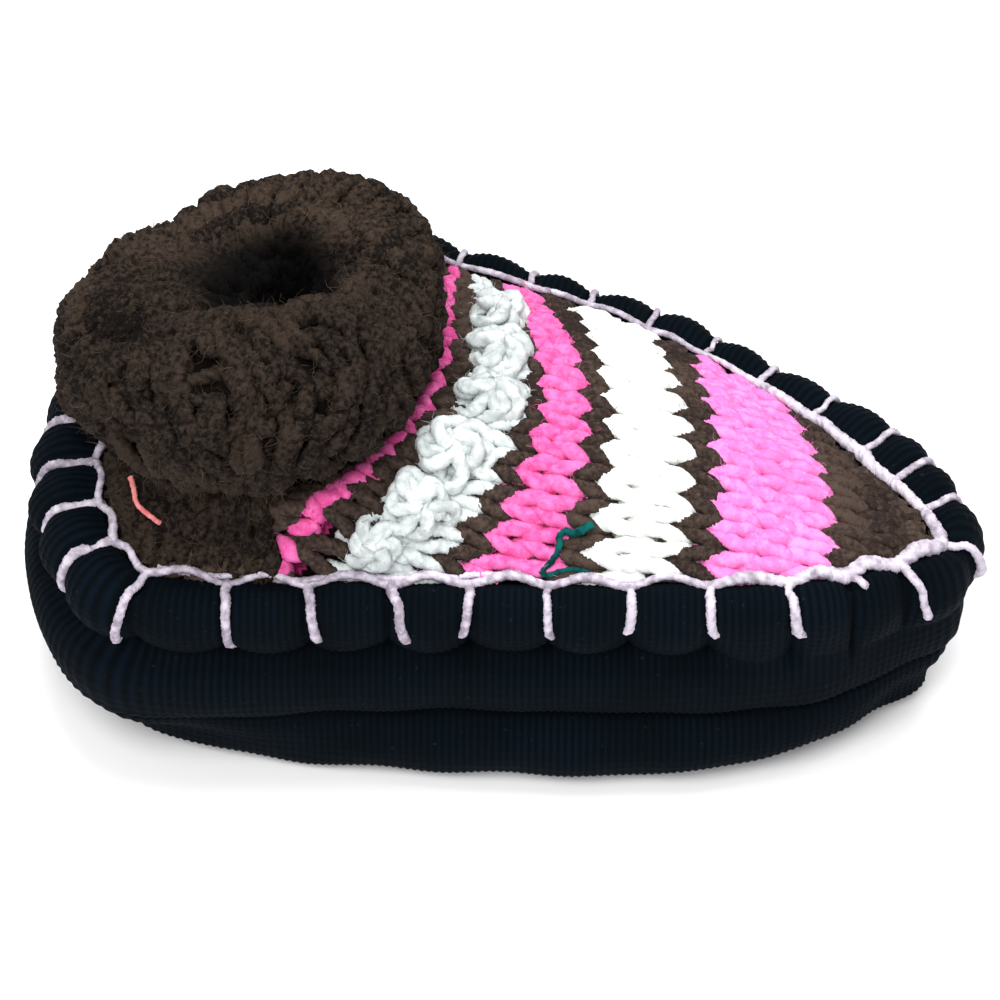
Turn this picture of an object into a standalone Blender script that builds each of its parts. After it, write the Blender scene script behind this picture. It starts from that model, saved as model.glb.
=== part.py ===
"""Knitted slipper for a baby's left foot: padded rib-knit sole and rim, striped knitted upper, folded rib cuff.

Metres, +Z up. The toe points along +X, the outer side of the foot is +Y, and the sole stands on Z = 0.
"""

import math

import bmesh
import bpy
from mathutils import Matrix, Vector

# Room for the foot, measured inside the stitched rim
RIM_LENGTH = 0.1018
RIM_WIDTH = 0.0500
RIM_HEIGHT = 0.0315
INSTEP_LIFT = 0.0050
TOE_DROP = 0.0030

# Sole pad: foam under black rib knit
PAD_HEIGHT = 0.0115
PAD_BULGE = 0.0066
PAD_SPRING = 0.0030

# Padded band that stands on the pad and ends in the roll under the blanket stitch
BAND_SEAT = 0.0040
BAND_BULGE = 0.0074
ROLL_OUT = 0.0070
FOLD_DEPTH = 0.0024
ROLL_HEIGHT = 0.0092
ROLL_CROWN = 0.0011
STITCHES = 31
PUFF_PINCH = 0.0013
STEPS_PER_STITCH = 5

# Insole that lies on the pad
INSOLE_HEIGHT = 0.0025

# Knitted upper
KNIT_WALL = 0.0026
VAMP_CROWN = 0.0040
VAMP_ROWS = (0.0, 0.10, 0.22, 0.36, 0.52, 0.68, 0.84, 1.0)

# Folded cuff: a rib tube turned down over itself into a fat roll, leaving a small mouth
CUFF_CREST = 0.0137
CUFF_FOLD = 0.0106
CUFF_NECK = 0.0063
CUFF_THROAT = 0.0105
CUFF_WALL = 0.0038
CUFF_LIFT = 0.0008
HEM_SHARE = 0.52
CUFF_RIBS = 38
RIB_DEPTH = 0.0006
THROAT_ALONG = 0.230
THROAT_ACROSS = 0.550
THROAT_HEIGHT = 0.0389
CUFF_TILT = math.radians(-12.6)
CUFF_LEAN = math.radians(-3.9)

# How the soft roll bunches up round the cuff, as shares of CUFF_FOLD; the fat side faces inward and to the heel
ROLL_WAVES = (
    # waves round the cuff, cosine, sine
    (1, -0.17, -0.39),
    (2, -0.09, 0.10),
    (3, -0.07, 0.06),
    (4, 0.02, 0.05),
)

# Clearance between pieces that meet
GAP = 0.0003

# Middle line of the sole, as shares of RIM_LENGTH and RIM_WIDTH: the underside is flat around it
KEEL_HEEL = (0.24, 0.47)
KEEL_TOE = (0.80, 0.34)

# Blanket-stitched seam seen from above, anticlockwise from the toe tip.
# along: share of RIM_LENGTH from the heel; across: share of RIM_WIDTH from the inner side;
# lift: share of INSTEP_LIFT that the rim rises; drop: share of TOE_DROP that it falls;
# roll, belly, seat, keel: shares of ROLL_OUT, BAND_BULGE, BAND_SEAT and PAD_BULGE, outward from the seam.
RIM_STATIONS = (
    # along, across, lift, drop, roll, belly, seat, keel
    (1.000, 0.20, 0.00, 1.00, 0.95, 0.55, 0.60, 0.10),
    (0.924, 0.42, 0.00, 0.80, 1.40, 0.95, 1.00, 0.30),
    (0.802, 0.64, 0.00, 0.25, 1.00, 0.95, 1.00, 0.60),
    (0.654, 0.82, 0.25, 0.00, 0.90, 0.90, 1.00, 1.00),
    (0.497, 0.93, 0.70, 0.00, 0.80, 0.90, 0.90, 1.00),
    (0.340, 1.02, 1.00, 0.00, 0.85, 0.90, 0.90, 1.00),
    (0.183, 0.97, 0.90, 0.00, 0.95, 1.00, 1.20, 0.80),
    (0.050, 0.75, 0.55, 0.00, 1.15, 1.20, 1.70, 0.65),
    (0.000, 0.42, 0.25, 0.00, 1.35, 1.40, 2.10, 0.65),
    (0.030, 0.11, 0.10, 0.00, 1.20, 1.30, 2.00, 0.45),
    (0.114, 0.02, 0.00, 0.00, 0.95, 1.00, 1.30, 0.45),
    (0.360, 0.01, 0.00, 0.00, 0.80, 0.85, 0.85, 0.95),
    (0.654, 0.00, 0.00, 0.00, 0.80, 0.85, 0.85, 1.10),
    (0.830, 0.02, 0.00, 0.15, 0.85, 0.75, 0.80, 0.80),
    (0.944, 0.10, 0.00, 0.60, 0.75, 0.45, 0.50, 0.20),
)
STATION_STEPS = 24

# Where the hand-worked blanket stitches sit: they crowd together round the toe and the heel corner
STITCH_SPACING = (
    # stitch counted from the toe tip, share of the seam's length
    (0, -0.004),
    (3, 0.062),
    (9, 0.251),
    (16, 0.512),
    (20, 0.609),
    (24, 0.762),
    (28, 0.914),
    (STITCHES, 0.996),
)


def smooth(low, high, value):
    """0 below low, 1 above high, and a smooth rise between them."""
    t = min(1.0, max(0.0, (value - low) / (high - low)))
    return t * t * (3.0 - 2.0 * t)


def mix(a, b, t):
    return a + (b - a) * t


def spline(p0, p1, p2, p3, t):
    """Catmull-Rom curve from p1 to p2."""
    return 0.5 * (
        2.0 * p1 + (p2 - p0) * t
        + (2.0 * p0 - 5.0 * p1 + 4.0 * p2 - p3) * t * t
        + (3.0 * p1 - p0 - 3.0 * p2 + p3) * t * t * t
    )


def rim_curve():
    """Dense closed curve of the seam: its points, its running length and the station shares at each point."""
    knots = []
    for along, across, lift, drop, *shares in RIM_STATIONS:
        place = Vector((
            (along - 0.5) * RIM_LENGTH,
            (across - 0.5) * RIM_WIDTH,
            RIM_HEIGHT + lift * INSTEP_LIFT - drop * TOE_DROP,
        ))
        knots.append((place, Vector(shares)))
    count = len(knots)
    points, shares = [], []
    for i in range(count):
        around = [knots[(i + k) % count] for k in (-1, 0, 1, 2)]
        for step in range(STATION_STEPS):
            points.append(spline(*(place for place, _ in around), step / STATION_STEPS))
            shares.append(spline(*(share for _, share in around), step / STATION_STEPS))
    points.append(points[0].copy())
    shares.append(shares[0].copy())
    run = [0.0]
    for a, b in zip(points, points[1:]):
        run.append(run[-1] + (b - a).length)
    return points, run, shares


RIM_POINTS, RIM_RUN, RIM_SHARES = rim_curve()


def stitch_share(index):
    """Share of the seam's length at a stitch index."""
    for (first, low), (last, high) in zip(STITCH_SPACING, STITCH_SPACING[1:]):
        if index <= last:
            break
    return mix(low, high, (index - first) / (last - first))


def rim_point(index):
    """Seam point, outward direction and station shares at a stitch index, which may be between two stitches."""
    wanted = (stitch_share(index) % 1.0) * RIM_RUN[-1]
    low, high = 0, len(RIM_RUN) - 1
    while high - low > 1:
        middle = (low + high) // 2
        if RIM_RUN[middle] <= wanted:
            low = middle
        else:
            high = middle
    t = (wanted - RIM_RUN[low]) / (RIM_RUN[high] - RIM_RUN[low])
    last = len(RIM_POINTS) - 1
    before, after = RIM_POINTS[(low - 4) % last], RIM_POINTS[(high + 4) % last]
    forward = after - before
    outward = Vector((forward.y, -forward.x, 0.0)).normalized()
    return RIM_POINTS[low].lerp(RIM_POINTS[high], t), outward, RIM_SHARES[low].lerp(RIM_SHARES[high], t)


def rim_stops(steps):
    return [i / steps for i in range(STITCHES * steps)]


def toeward(point):
    """0 back of the ball, 1 at the toe."""
    return smooth(0.12 * RIM_LENGTH, 0.42 * RIM_LENGTH, point.x)


def endward(point):
    """1 at the toe and at the heel, 0 along the middle third."""
    return max(toeward(point), 1.0 - smooth(-0.48 * RIM_LENGTH, -0.22 * RIM_LENGTH, point.x))


def puff(index):
    """1 in the middle of the fabric between two stitches, 0 where a stitch draws it in."""
    return abs(math.sin(math.pi * index)) ** 0.6


def band_profile(point, shares, index):
    """Closed cross-section of the band as (outward, height) pairs, from the foot side round over the roll."""
    top = point.z
    pinch = (1.0 - puff(index)) * PUFF_PINCH
    crown = ROLL_CROWN - pinch
    roll = shares[0] * ROLL_OUT - pinch
    belly = shares[1] * BAND_BULGE
    seat = shares[2] * BAND_SEAT
    fold = top - ROLL_HEIGHT
    crease = min(roll, belly) - FOLD_DEPTH * (1.0 - toeward(point))
    foot = PAD_HEIGHT + GAP
    middle = 0.5 * (fold + foot)
    return [
        (0.0, foot),
        (0.0, mix(foot, top, 0.5)),
        (0.0, top - 0.13 * ROLL_HEIGHT),
        (0.22 * roll, top + 0.5 * crown),
        (0.50 * roll, top + crown),
        (0.80 * roll, top + 0.1 * crown - 0.065 * ROLL_HEIGHT),
        (0.97 * roll, top - 0.30 * ROLL_HEIGHT),
        (roll, top - 0.55 * ROLL_HEIGHT),
        (mix(crease, roll, 0.50), fold + 0.14 * ROLL_HEIGHT),
        (crease, fold),
        (mix(crease, belly, 0.75), mix(fold, middle, 0.4)),
        (belly, middle),
        (mix(seat, belly, 0.70), mix(foot, middle, 0.36)),
        (seat, foot),
    ]


def pad_profile(point, shares):
    """Open cross-section of the sole pad as (outward, height) pairs, from its top edge down to the ground."""
    seat = shares[2] * BAND_SEAT
    keel = shares[3] * PAD_BULGE
    rise = PAD_SPRING * endward(point)
    return [
        (seat, PAD_HEIGHT),
        (mix(seat, keel, 0.40) + 0.12 * PAD_BULGE, 0.82 * PAD_HEIGHT),
        (mix(seat, keel, 0.90) + 0.06 * PAD_BULGE, 0.56 * PAD_HEIGHT + 0.2 * rise),
        (0.94 * keel, 0.30 * PAD_HEIGHT + 0.5 * rise),
        (0.72 * keel, 0.10 * PAD_HEIGHT + 0.8 * rise),
        (0.30 * keel, 0.02 * PAD_HEIGHT + 0.8 * rise),
    ]


def keel_point(point):
    """Nearest point of the sole's middle line."""
    heel = Vector(((KEEL_HEEL[0] - 0.5) * RIM_LENGTH, (KEEL_HEEL[1] - 0.5) * RIM_WIDTH))
    toe = Vector(((KEEL_TOE[0] - 0.5) * RIM_LENGTH, (KEEL_TOE[1] - 0.5) * RIM_WIDTH))
    line = toe - heel
    t = min(1.0, max(0.0, (point.xy - heel).dot(line) / line.length_squared))
    return heel + line * t


def placed(point, outward, offset, height):
    return Vector((point.x + outward.x * offset, point.y + outward.y * offset, height))


def bridge(rings, closed_section):
    """Quads between neighbouring rings; each ring is a list of points round the shoe."""
    vertices = [v for ring in rings for v in ring]
    size, count = len(rings[0]), len(rings)
    faces = []
    for r in range(count if closed_section else count - 1):
        for i in range(size):
            a, b = r * size + i, r * size + (i + 1) % size
            c, d = ((r + 1) % count) * size + (i + 1) % size, ((r + 1) % count) * size + i
            faces.append((a, b, c, d))
    return vertices, faces


def turned(sections):
    """Rings round the shoe from cross-sections, one ring for each point of the section."""
    return [[section[k] for section in sections] for k in range(len(sections[0]))]


def material(name, colour, roughness):
    made = bpy.data.materials.new(name)
    made.use_nodes = True
    shader = made.node_tree.nodes["Principled BSDF"]
    shader.inputs["Base Color"].default_value = (*colour, 1.0)
    shader.inputs["Roughness"].default_value = roughness
    shader.inputs["Metallic"].default_value = 0.0
    return made


def solid(name, vertices, faces, finish, smooth_angle=40.0):
    """A named mesh object, shaded smooth, with its faces turned outward."""
    mesh = bpy.data.meshes.new(name)
    mesh.from_pydata([tuple(v) for v in vertices], [], faces)
    work = bmesh.new()
    work.from_mesh(mesh)
    bmesh.ops.recalc_face_normals(work, faces=work.faces)
    work.to_mesh(mesh)
    work.free()
    made = bpy.data.objects.new(name, mesh)
    bpy.context.scene.collection.objects.link(made)
    mesh.materials.append(finish)
    mesh.shade_smooth()
    mesh.set_sharp_from_angle(angle=math.radians(smooth_angle))
    return made


def make_band(finish):
    sections = []
    for index in rim_stops(STEPS_PER_STITCH):
        point, outward, shares = rim_point(index)
        profile = band_profile(point, shares, index)
        sections.append([placed(point, outward, offset, height) for offset, height in profile])
    vertices, faces = bridge(turned(sections), closed_section=True)
    return solid("padded_band", vertices, faces, finish)


def make_pad(finish):
    sections = []
    for index in rim_stops(2):
        point, outward, shares = rim_point(index)
        profile = pad_profile(point, shares)
        section = [placed(point, outward, offset, height) for offset, height in profile]
        inner = keel_point(point)
        edge = section[-1]
        for share, height in ((0.14, 0.35 * edge.z), (0.32, 0.0)):
            section.append(Vector((mix(edge.x, inner.x, share), mix(edge.y, inner.y, share), height)))
        sections.append(section)
    return capped("sole_pad", turned(sections), finish)


def make_insole(finish):
    foot = PAD_HEIGHT + GAP
    edge = ((-GAP, foot), (-GAP, foot + 0.7 * INSOLE_HEIGHT), (-GAP - 0.5 * INSOLE_HEIGHT, foot + INSOLE_HEIGHT))
    sections = []
    for index in rim_stops(2):
        point, outward, _ = rim_point(index)
        sections.append([placed(point, outward, offset, height) for offset, height in edge])
    return capped("insole", turned(sections), finish)


def throat_frame():
    """Place and tilt of the cuff: its origin is the middle of the throat and its Z runs up the cuff."""
    middle = Vector((
        (THROAT_ALONG - 0.5) * RIM_LENGTH,
        (THROAT_ACROSS - 0.5) * RIM_WIDTH,
        THROAT_HEIGHT,
    ))
    turn = Matrix.Rotation(CUFF_LEAN, 4, "X") @ Matrix.Rotation(CUFF_TILT, 4, "Y")
    return Matrix.Translation(middle) @ turn


THROAT = throat_frame()


def on_throat(radius, angle, height):
    return THROAT @ Vector((radius * math.cos(angle), radius * math.sin(angle), height))


def roll_size(angle):
    """Width outside the crest and height of the rolled fold at an angle round the cuff."""
    bunch = sum(c * math.cos(n * angle) + d * math.sin(n * angle) for n, c, d in ROLL_WAVES)
    return CUFF_FOLD * (1.0 + bunch), CUFF_FOLD * (1.0 + 0.5 * bunch)


def hem_radius(angle):
    return CUFF_CREST + HEM_SHARE * roll_size(angle)[0]


def cuff_profile(angle, ridge):
    """Closed cross-section of the folded cuff as (radius, height) pairs, from the hem over the fold to the throat."""
    wide, tall = roll_size(angle)
    inward = CUFF_CREST - CUFF_NECK
    centre = CUFF_LIFT + tall

    def skin(degrees, inset):
        turn = math.radians(degrees)
        reach = (wide if math.cos(turn) > 0.0 else inward) - inset
        return (CUFF_CREST + reach * math.cos(turn), centre + (tall - inset) * math.sin(turn))

    section = [(hem_radius(angle), 0.0)]
    section += [skin(degrees, -ridge) for degrees in (-58.0, -34.0, -8.0, 18.0, 44.0, 70.0, 96.0, 122.0, 148.0, 172.0)]
    section += [
        (mix(CUFF_NECK, CUFF_THROAT, 0.35), 0.50 * centre),
        (CUFF_THROAT, 0.0),
        (CUFF_THROAT + CUFF_WALL, 0.0),
        (CUFF_THROAT + 0.45 * CUFF_WALL, 0.26 * centre),
    ]
    section += [skin(degrees, CUFF_WALL) for degrees in (195.0, 140.0, 90.0, 40.0, -12.0)]
    section.append((hem_radius(angle) - 0.7 * CUFF_WALL, 0.5 * CUFF_WALL))
    return section


def make_cuff(finish):
    count = 2 * CUFF_RIBS
    sections = []
    for i in range(count):
        angle = 2.0 * math.pi * i / count
        ridge = RIB_DEPTH if i % 2 == 0 else -RIB_DEPTH
        sections.append([on_throat(radius, angle, height) for radius, height in cuff_profile(angle, ridge)])
    vertices, faces = bridge(turned(sections), closed_section=True)
    return solid("rib_cuff", vertices, faces, finish, 60.0)


def capped(name, rings, finish):
    """A closed solid from stacked rings, with a flat face across the first and the last."""
    vertices, faces = bridge(rings, closed_section=False)
    size = len(rings[0])
    last = (len(rings) - 1) * size
    faces.append(tuple(range(size)))
    faces.append(tuple(last + i for i in range(size)))
    return solid(name, vertices, faces, finish)


def upper_section(index):
    """Outer face of the upper as points from the stitched seam up to the hem of the cuff and in under it."""
    seam, outward, _ = rim_point(index)
    start = placed(seam, outward, -GAP, seam.z - 0.25 * KNIT_WALL)
    local = THROAT.inverted() @ start
    angle = math.atan2(local.y, local.x)
    landing = on_throat(hem_radius(angle) + 2.0 * GAP, angle, -GAP)
    crown = VAMP_CROWN * smooth(0.04 * RIM_LENGTH, 0.50 * RIM_LENGTH, (landing.xy - start.xy).length)
    section = []
    for share in VAMP_ROWS:
        point = start.lerp(landing, share)
        point.z += crown * 4.0 * share * (1.0 - share)
        section.append(point)
    section.append(on_throat(CUFF_THROAT + 0.35 * CUFF_WALL, angle, -GAP))
    return section


def make_upper(finish):
    rings = turned([upper_section(index) for index in rim_stops(2)])
    vertices, faces = bridge(rings, closed_section=False)
    made = solid("upper", vertices, faces, finish)
    wall = made.modifiers.new("wall", "SOLIDIFY")
    wall.thickness = KNIT_WALL
    wall.offset = -1.0
    wall.use_even_offset = True
    return made


def clear_scene():
    for leftover in list(bpy.data.objects):
        bpy.data.objects.remove(leftover)


def centre_on_origin(objects):
    """Moves the meshes so that the whole slipper is centred on the origin, seen from above."""
    corners = [v.co for made in objects for v in made.data.vertices]
    middle = Vector((
        0.5 * (min(c.x for c in corners) + max(c.x for c in corners)),
        0.5 * (min(c.y for c in corners) + max(c.y for c in corners)),
        0.0,
    ))
    for made in objects:
        made.data.transform(Matrix.Translation(-middle))
    return middle


def main():
    clear_scene()
    black = material("black_rib_knit", (0.008, 0.010, 0.013), 0.92)
    felt = material("insole_felt", (0.030, 0.028, 0.030), 0.95)
    brown = material("brown_wool", (0.045, 0.028, 0.018), 0.95)
    striped = material("striped_wool", (0.75, 0.16, 0.42), 0.95)
    pieces = [
        make_pad(black),
        make_band(black),
        make_insole(felt),
        make_upper(striped),
        make_cuff(brown),
    ]
    return centre_on_origin(pieces)


MIDDLE = main()
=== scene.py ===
# %% [markdown]
# # A knitted slipper, dressed in Blender
#
# The slipper's solids come from the CAD model. This notebook gives them their looks: black rib knit over
# wadding, chunky striped knitting, a fuzzy ribbed cuff and a blanket stitch in pale lilac yarn. First the
# CAD model is loaded as a fixed frame. Fabric may stand only a little proud of it.

# %% Load the frame
import math

import bpy
import numpy as np
from mathutils import Matrix, Vector
from mathutils.bvhtree import BVHTree


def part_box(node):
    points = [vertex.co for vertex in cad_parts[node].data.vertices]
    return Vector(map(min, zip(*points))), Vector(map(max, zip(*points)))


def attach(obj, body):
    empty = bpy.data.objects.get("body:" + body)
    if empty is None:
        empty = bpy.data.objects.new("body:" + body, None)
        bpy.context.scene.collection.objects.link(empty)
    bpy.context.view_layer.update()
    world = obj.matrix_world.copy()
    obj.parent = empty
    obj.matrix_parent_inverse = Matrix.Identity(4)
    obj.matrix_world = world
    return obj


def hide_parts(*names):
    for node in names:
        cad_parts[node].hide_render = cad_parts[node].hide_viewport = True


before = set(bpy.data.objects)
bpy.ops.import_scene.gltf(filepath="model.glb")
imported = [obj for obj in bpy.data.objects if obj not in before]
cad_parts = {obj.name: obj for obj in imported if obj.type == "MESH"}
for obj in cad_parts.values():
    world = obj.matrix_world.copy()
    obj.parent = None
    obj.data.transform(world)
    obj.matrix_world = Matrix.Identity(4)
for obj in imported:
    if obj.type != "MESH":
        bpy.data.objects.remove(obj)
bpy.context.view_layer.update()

# %% [markdown]
# ## Camera, floor and light
#
# The slipper was photographed from its inner side, 48 degrees above the floor, with a long lens. The camera
# is set by what one millimetre measures at the aim point, so the render can be laid over the photograph.
# The floor is plain and pale. Wide area lights give the soft shade of a bright room.

# %% The camera at the photograph's angle
CAMERA_RISE = math.radians(48.0)
CAMERA_DISTANCE = 0.600
PIXELS_PER_MM, FRAME_PIXELS, SENSOR_MM = 8.06, 1000.0, 36.0
AIM = Vector((-0.00018, -0.00510, 0.0240))


def add_object(name, data):
    """A new object in the scene, at the origin."""
    made = bpy.data.objects.new(name, data)
    bpy.context.scene.collection.objects.link(made)
    return made


camera_data = bpy.data.cameras.new("camera")
camera = add_object("camera", camera_data)
bpy.context.scene.camera = camera
toward_camera = Vector((0.0, -math.cos(CAMERA_RISE), math.sin(CAMERA_RISE)))
camera.location = AIM + toward_camera * CAMERA_DISTANCE
camera.rotation_euler = toward_camera.to_track_quat("Z", "Y").to_euler()
camera_data.sensor_width = SENSOR_MM
camera_data.lens = PIXELS_PER_MM * CAMERA_DISTANCE * 1000.0 * SENSOR_MM / FRAME_PIXELS
camera_data.clip_start, camera_data.clip_end = 0.01, 20.0
print("lens, mm:", round(camera_data.lens, 1))


# %% Small helpers for colours and nodes
MATH, MIX, NOISE = "ShaderNodeMath", "ShaderNodeMix", "ShaderNodeTexNoise"


def srgb(code):
    """A hex sRGB colour as linear red, green, blue and alpha."""
    parts = [int(code[i:i + 2], 16) / 255.0 for i in (1, 3, 5)]
    return tuple(p / 12.92 if p <= 0.04045 else ((p + 0.055) / 1.055) ** 2.4 for p in parts) + (1.0,)


def put(tree, kind, inputs=None, **settings):
    """Adds a node: settings are its own values, and inputs are values, or sockets or nodes to link from."""
    made = tree.nodes.new(kind)
    for name, value in settings.items():
        setattr(made, name, value)
    for name, value in (inputs or {}).items():
        socket = made.inputs[name]
        if isinstance(value, bpy.types.Node):
            value = next(output for output in value.outputs if output.enabled)
        if isinstance(value, bpy.types.NodeSocket):
            tree.links.new(value, socket)
        else:
            socket.default_value = value
    return made


def finish_material(name, **values):
    """A new material with one Principled shader, whose sockets take the values given."""
    made = bpy.data.materials.new(name)
    made.use_nodes = True
    shader = made.node_tree.nodes["Principled BSDF"]
    for socket, value in values.items():
        shader.inputs[socket.replace("_", " ")].default_value = value
    return made, made.node_tree, shader


# %% Floor and light
plaster = finish_material("plaster_floor", Base_Color=srgb("#F7F7F8"), Roughness=0.9)[0]
floor_mesh = bpy.data.meshes.new("floor")
floor_mesh.from_pydata([(-3, -3, 0), (3, -3, 0), (3, 3, 0), (-3, 3, 0)], [], [(0, 1, 2, 3)])
floor_mesh.materials.append(plaster)
add_object("floor", floor_mesh)

LAMPS = (
    # name, place, size in metres, watts
    ("window", (-0.25, -0.55, 0.95), 0.60, 9.0),
    ("ceiling", (0.10, 0.25, 1.10), 0.80, 10.0),
    ("fill", (0.70, -0.70, 0.45), 0.60, 1.5),
)
for name, place, size, watts in LAMPS:
    lamp = bpy.data.lights.new(name, "AREA")
    lamp.shape, lamp.size, lamp.energy = "DISK", size, watts
    holder = add_object(name, lamp)
    holder.location = place
    holder.rotation_euler = Vector(place).to_track_quat("Z", "Y").to_euler()

sky = bpy.data.worlds.new("pale_room")
bpy.context.scene.world = sky
sky.use_nodes = True
background = sky.node_tree.nodes["Background"]
background.inputs["Color"].default_value = srgb("#FFFFFF")
background.inputs["Strength"].default_value = 0.60
bpy.context.scene.view_settings.view_transform = "Standard"
print("lamps:", [name for name, *_ in LAMPS])

# %% [markdown]
# ## The form under the fabric
#
# Every soft piece follows the same forms as the solids: the stitched seam round the foot, the padded band
# outside it, the upper inside it, and the tilted throat that carries the cuff. The seam is a smooth closed
# curve through a few given stations, and numpy works on all its points at once.

# %% The seam
RIM_LENGTH, RIM_WIDTH, RIM_HEIGHT = 0.1018, 0.0500, 0.0315
INSTEP_LIFT, TOE_DROP = 0.0050, 0.0030
STITCHES = 31
RIM_STATIONS = np.array((
    # along, across, lift, drop, roll, belly, seat, keel
    (1.000, 0.20, 0.00, 1.00, 0.95, 0.55, 0.60, 0.10),
    (0.924, 0.42, 0.00, 0.80, 1.40, 0.95, 1.00, 0.30),
    (0.802, 0.64, 0.00, 0.25, 1.00, 0.95, 1.00, 0.60),
    (0.654, 0.82, 0.25, 0.00, 0.90, 0.90, 1.00, 1.00),
    (0.497, 0.93, 0.70, 0.00, 0.80, 0.90, 0.90, 1.00),
    (0.340, 1.02, 1.00, 0.00, 0.85, 0.90, 0.90, 1.00),
    (0.183, 0.97, 0.90, 0.00, 0.95, 1.00, 1.20, 0.80),
    (0.050, 0.75, 0.55, 0.00, 1.15, 1.20, 1.70, 0.65),
    (0.000, 0.42, 0.25, 0.00, 1.35, 1.40, 2.10, 0.65),
    (0.030, 0.11, 0.10, 0.00, 1.20, 1.30, 2.00, 0.45),
    (0.114, 0.02, 0.00, 0.00, 0.95, 1.00, 1.30, 0.45),
    (0.360, 0.01, 0.00, 0.00, 0.80, 0.85, 0.85, 0.95),
    (0.654, 0.00, 0.00, 0.00, 0.80, 0.85, 0.85, 1.10),
    (0.830, 0.02, 0.00, 0.15, 0.85, 0.75, 0.80, 0.80),
    (0.944, 0.10, 0.00, 0.60, 0.75, 0.45, 0.50, 0.20),
))
STITCH_NUMBERS, STITCH_SHARES = zip(*(
    # stitch number, and the share of the seam's length where it sits
    (0, -0.004), (3, 0.062), (9, 0.251), (16, 0.512), (20, 0.609), (24, 0.762), (28, 0.914), (31, 0.996),
))
SEAM_STEPS, SEAM_REACH = 48, 8


def smooth(low, high, value):
    """A soft step: 0 below low, 1 above high."""
    t = np.clip((value - low) / (high - low), 0.0, 1.0)
    return t * t * (3.0 - 2.0 * t)


def mix(a, b, t):
    """The value that lies a share t of the way from a to b."""
    return a + (b - a) * t


def spline_span(p0, p1, p2, p3, t):
    """Catmull-Rom points from p1 to p2."""
    square = (2 * p0 - 5 * p1 + 4 * p2 - p3) * t ** 2
    cube = (3 * p1 - p0 - 3 * p2 + p3) * t ** 3
    return 0.5 * (2 * p1 + (p2 - p0) * t + square + cube)


def closed_spline(knots, steps):
    """A curve through closed knots, steps points to a span, with the first point repeated at the end."""
    t = np.arange(steps)[None, :, None] / steps
    dense = spline_span(*(np.roll(knots, k, axis=0)[:, None, :] for k in (1, 0, -1, -2)), t)
    dense = dense.reshape(-1, knots.shape[1])
    return np.vstack([dense, dense[:1]])


def run_along(points):
    """Distance along a line of points, from 0 at its first."""
    return np.concatenate([[0.0], np.cumsum(np.linalg.norm(np.diff(points, axis=0), axis=-1))])


dense = closed_spline(RIM_STATIONS, SEAM_STEPS)
seam_line = np.stack([
    (dense[:, 0] - 0.5) * RIM_LENGTH,
    (dense[:, 1] - 0.5) * RIM_WIDTH,
    RIM_HEIGHT + dense[:, 2] * INSTEP_LIFT - dense[:, 3] * TOE_DROP,
], axis=1)
seam_run = run_along(seam_line)

# The seam is laid on the CAD insole, which it goes round at an even distance
insole_low, insole_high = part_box("insole")
shift = 0.5 * (np.array(insole_low + insole_high)[:2] - seam_line[:, :2].min(0) - seam_line[:, :2].max(0))
seam_line[:, :2] += shift
seam_turn = np.roll(seam_line[:-1], -SEAM_REACH, axis=0) - np.roll(seam_line[:-1], SEAM_REACH, axis=0)
seam_out = np.stack([seam_turn[:, 1], -seam_turn[:, 0]], axis=1)
seam_out /= np.linalg.norm(seam_out, axis=1, keepdims=True)
seam_out = np.vstack([seam_out, seam_out[:1]])
print("seam, mm:", round(seam_run[-1] * 1000), "shift, mm:", np.round(shift * 1000, 2))


def seam_at(share):
    """Points, outward directions and station shares of the seam at shares of its length."""
    run = np.mod(share, 1.0) * seam_run[-1]
    pick = lambda table: np.stack([np.interp(run, seam_run, column) for column in table.T], axis=-1)
    outward = pick(seam_out)
    outward /= np.linalg.norm(outward, axis=-1, keepdims=True)
    return pick(seam_line), outward, pick(dense[:, 4:])


def stitch_share(index):
    """Share of the seam's length at a stitch number, which may lie between two stitches."""
    index = np.asarray(index, float)
    turns = np.floor(index / STITCHES)
    return np.interp(index - turns * STITCHES, STITCH_NUMBERS, STITCH_SHARES) + turns


def stitch_index(share):
    """Stitch number at a share of the seam's length."""
    first = STITCH_SHARES[0]
    return np.interp(np.mod(np.asarray(share) - first, 1.0) + first, STITCH_SHARES, STITCH_NUMBERS)


# %% [markdown]
# ## Meshes from grids
#
# Knitted fabric is a regular grid, so most pieces are grids of points that numpy works out, joined by
# quads. One helper turns such a grid into a mesh, and one hangs a finished piece on the slipper's body.

# %% Grid meshes and finished pieces
def mesh_from(name, points, quads, values=None):
    """A mesh object from points and quads, with named float values on its points."""
    mesh = bpy.data.meshes.new(name)
    mesh.from_pydata(np.asarray(points).reshape(-1, 3).tolist(), [], quads.tolist())
    for key, value in (values or {}).items():
        layer = mesh.attributes.new(key, "FLOAT", "POINT")
        layer.data.foreach_set("value", np.asarray(value, np.float32).ravel())
    mesh.shade_smooth()
    return add_object(name, mesh)


def grid_quads(rows, columns, close_rows=False, close_columns=False):
    """Quads of a grid of points, whose last row or column may join its first."""
    r = np.arange(rows if close_rows else rows - 1)[:, None]
    c = np.arange(columns if close_columns else columns - 1)[None, :]
    r2, c2 = (r + 1) % rows, (c + 1) % columns
    quads = np.stack([r * columns + c, r * columns + c2, r2 * columns + c2, r2 * columns + c], axis=-1)
    return quads.reshape(-1, 4)


def grid_normals(points, close_rows, close_columns):
    """Unit normals of a grid of points."""
    def difference(axis, closed):
        if closed:
            return np.roll(points, -1, axis=axis) - np.roll(points, 1, axis=axis)
        return np.gradient(points, axis=axis)
    normal = np.cross(difference(0, close_rows), difference(1, close_columns))
    return normal / np.maximum(np.linalg.norm(normal, axis=-1, keepdims=True), 1e-12)


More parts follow.
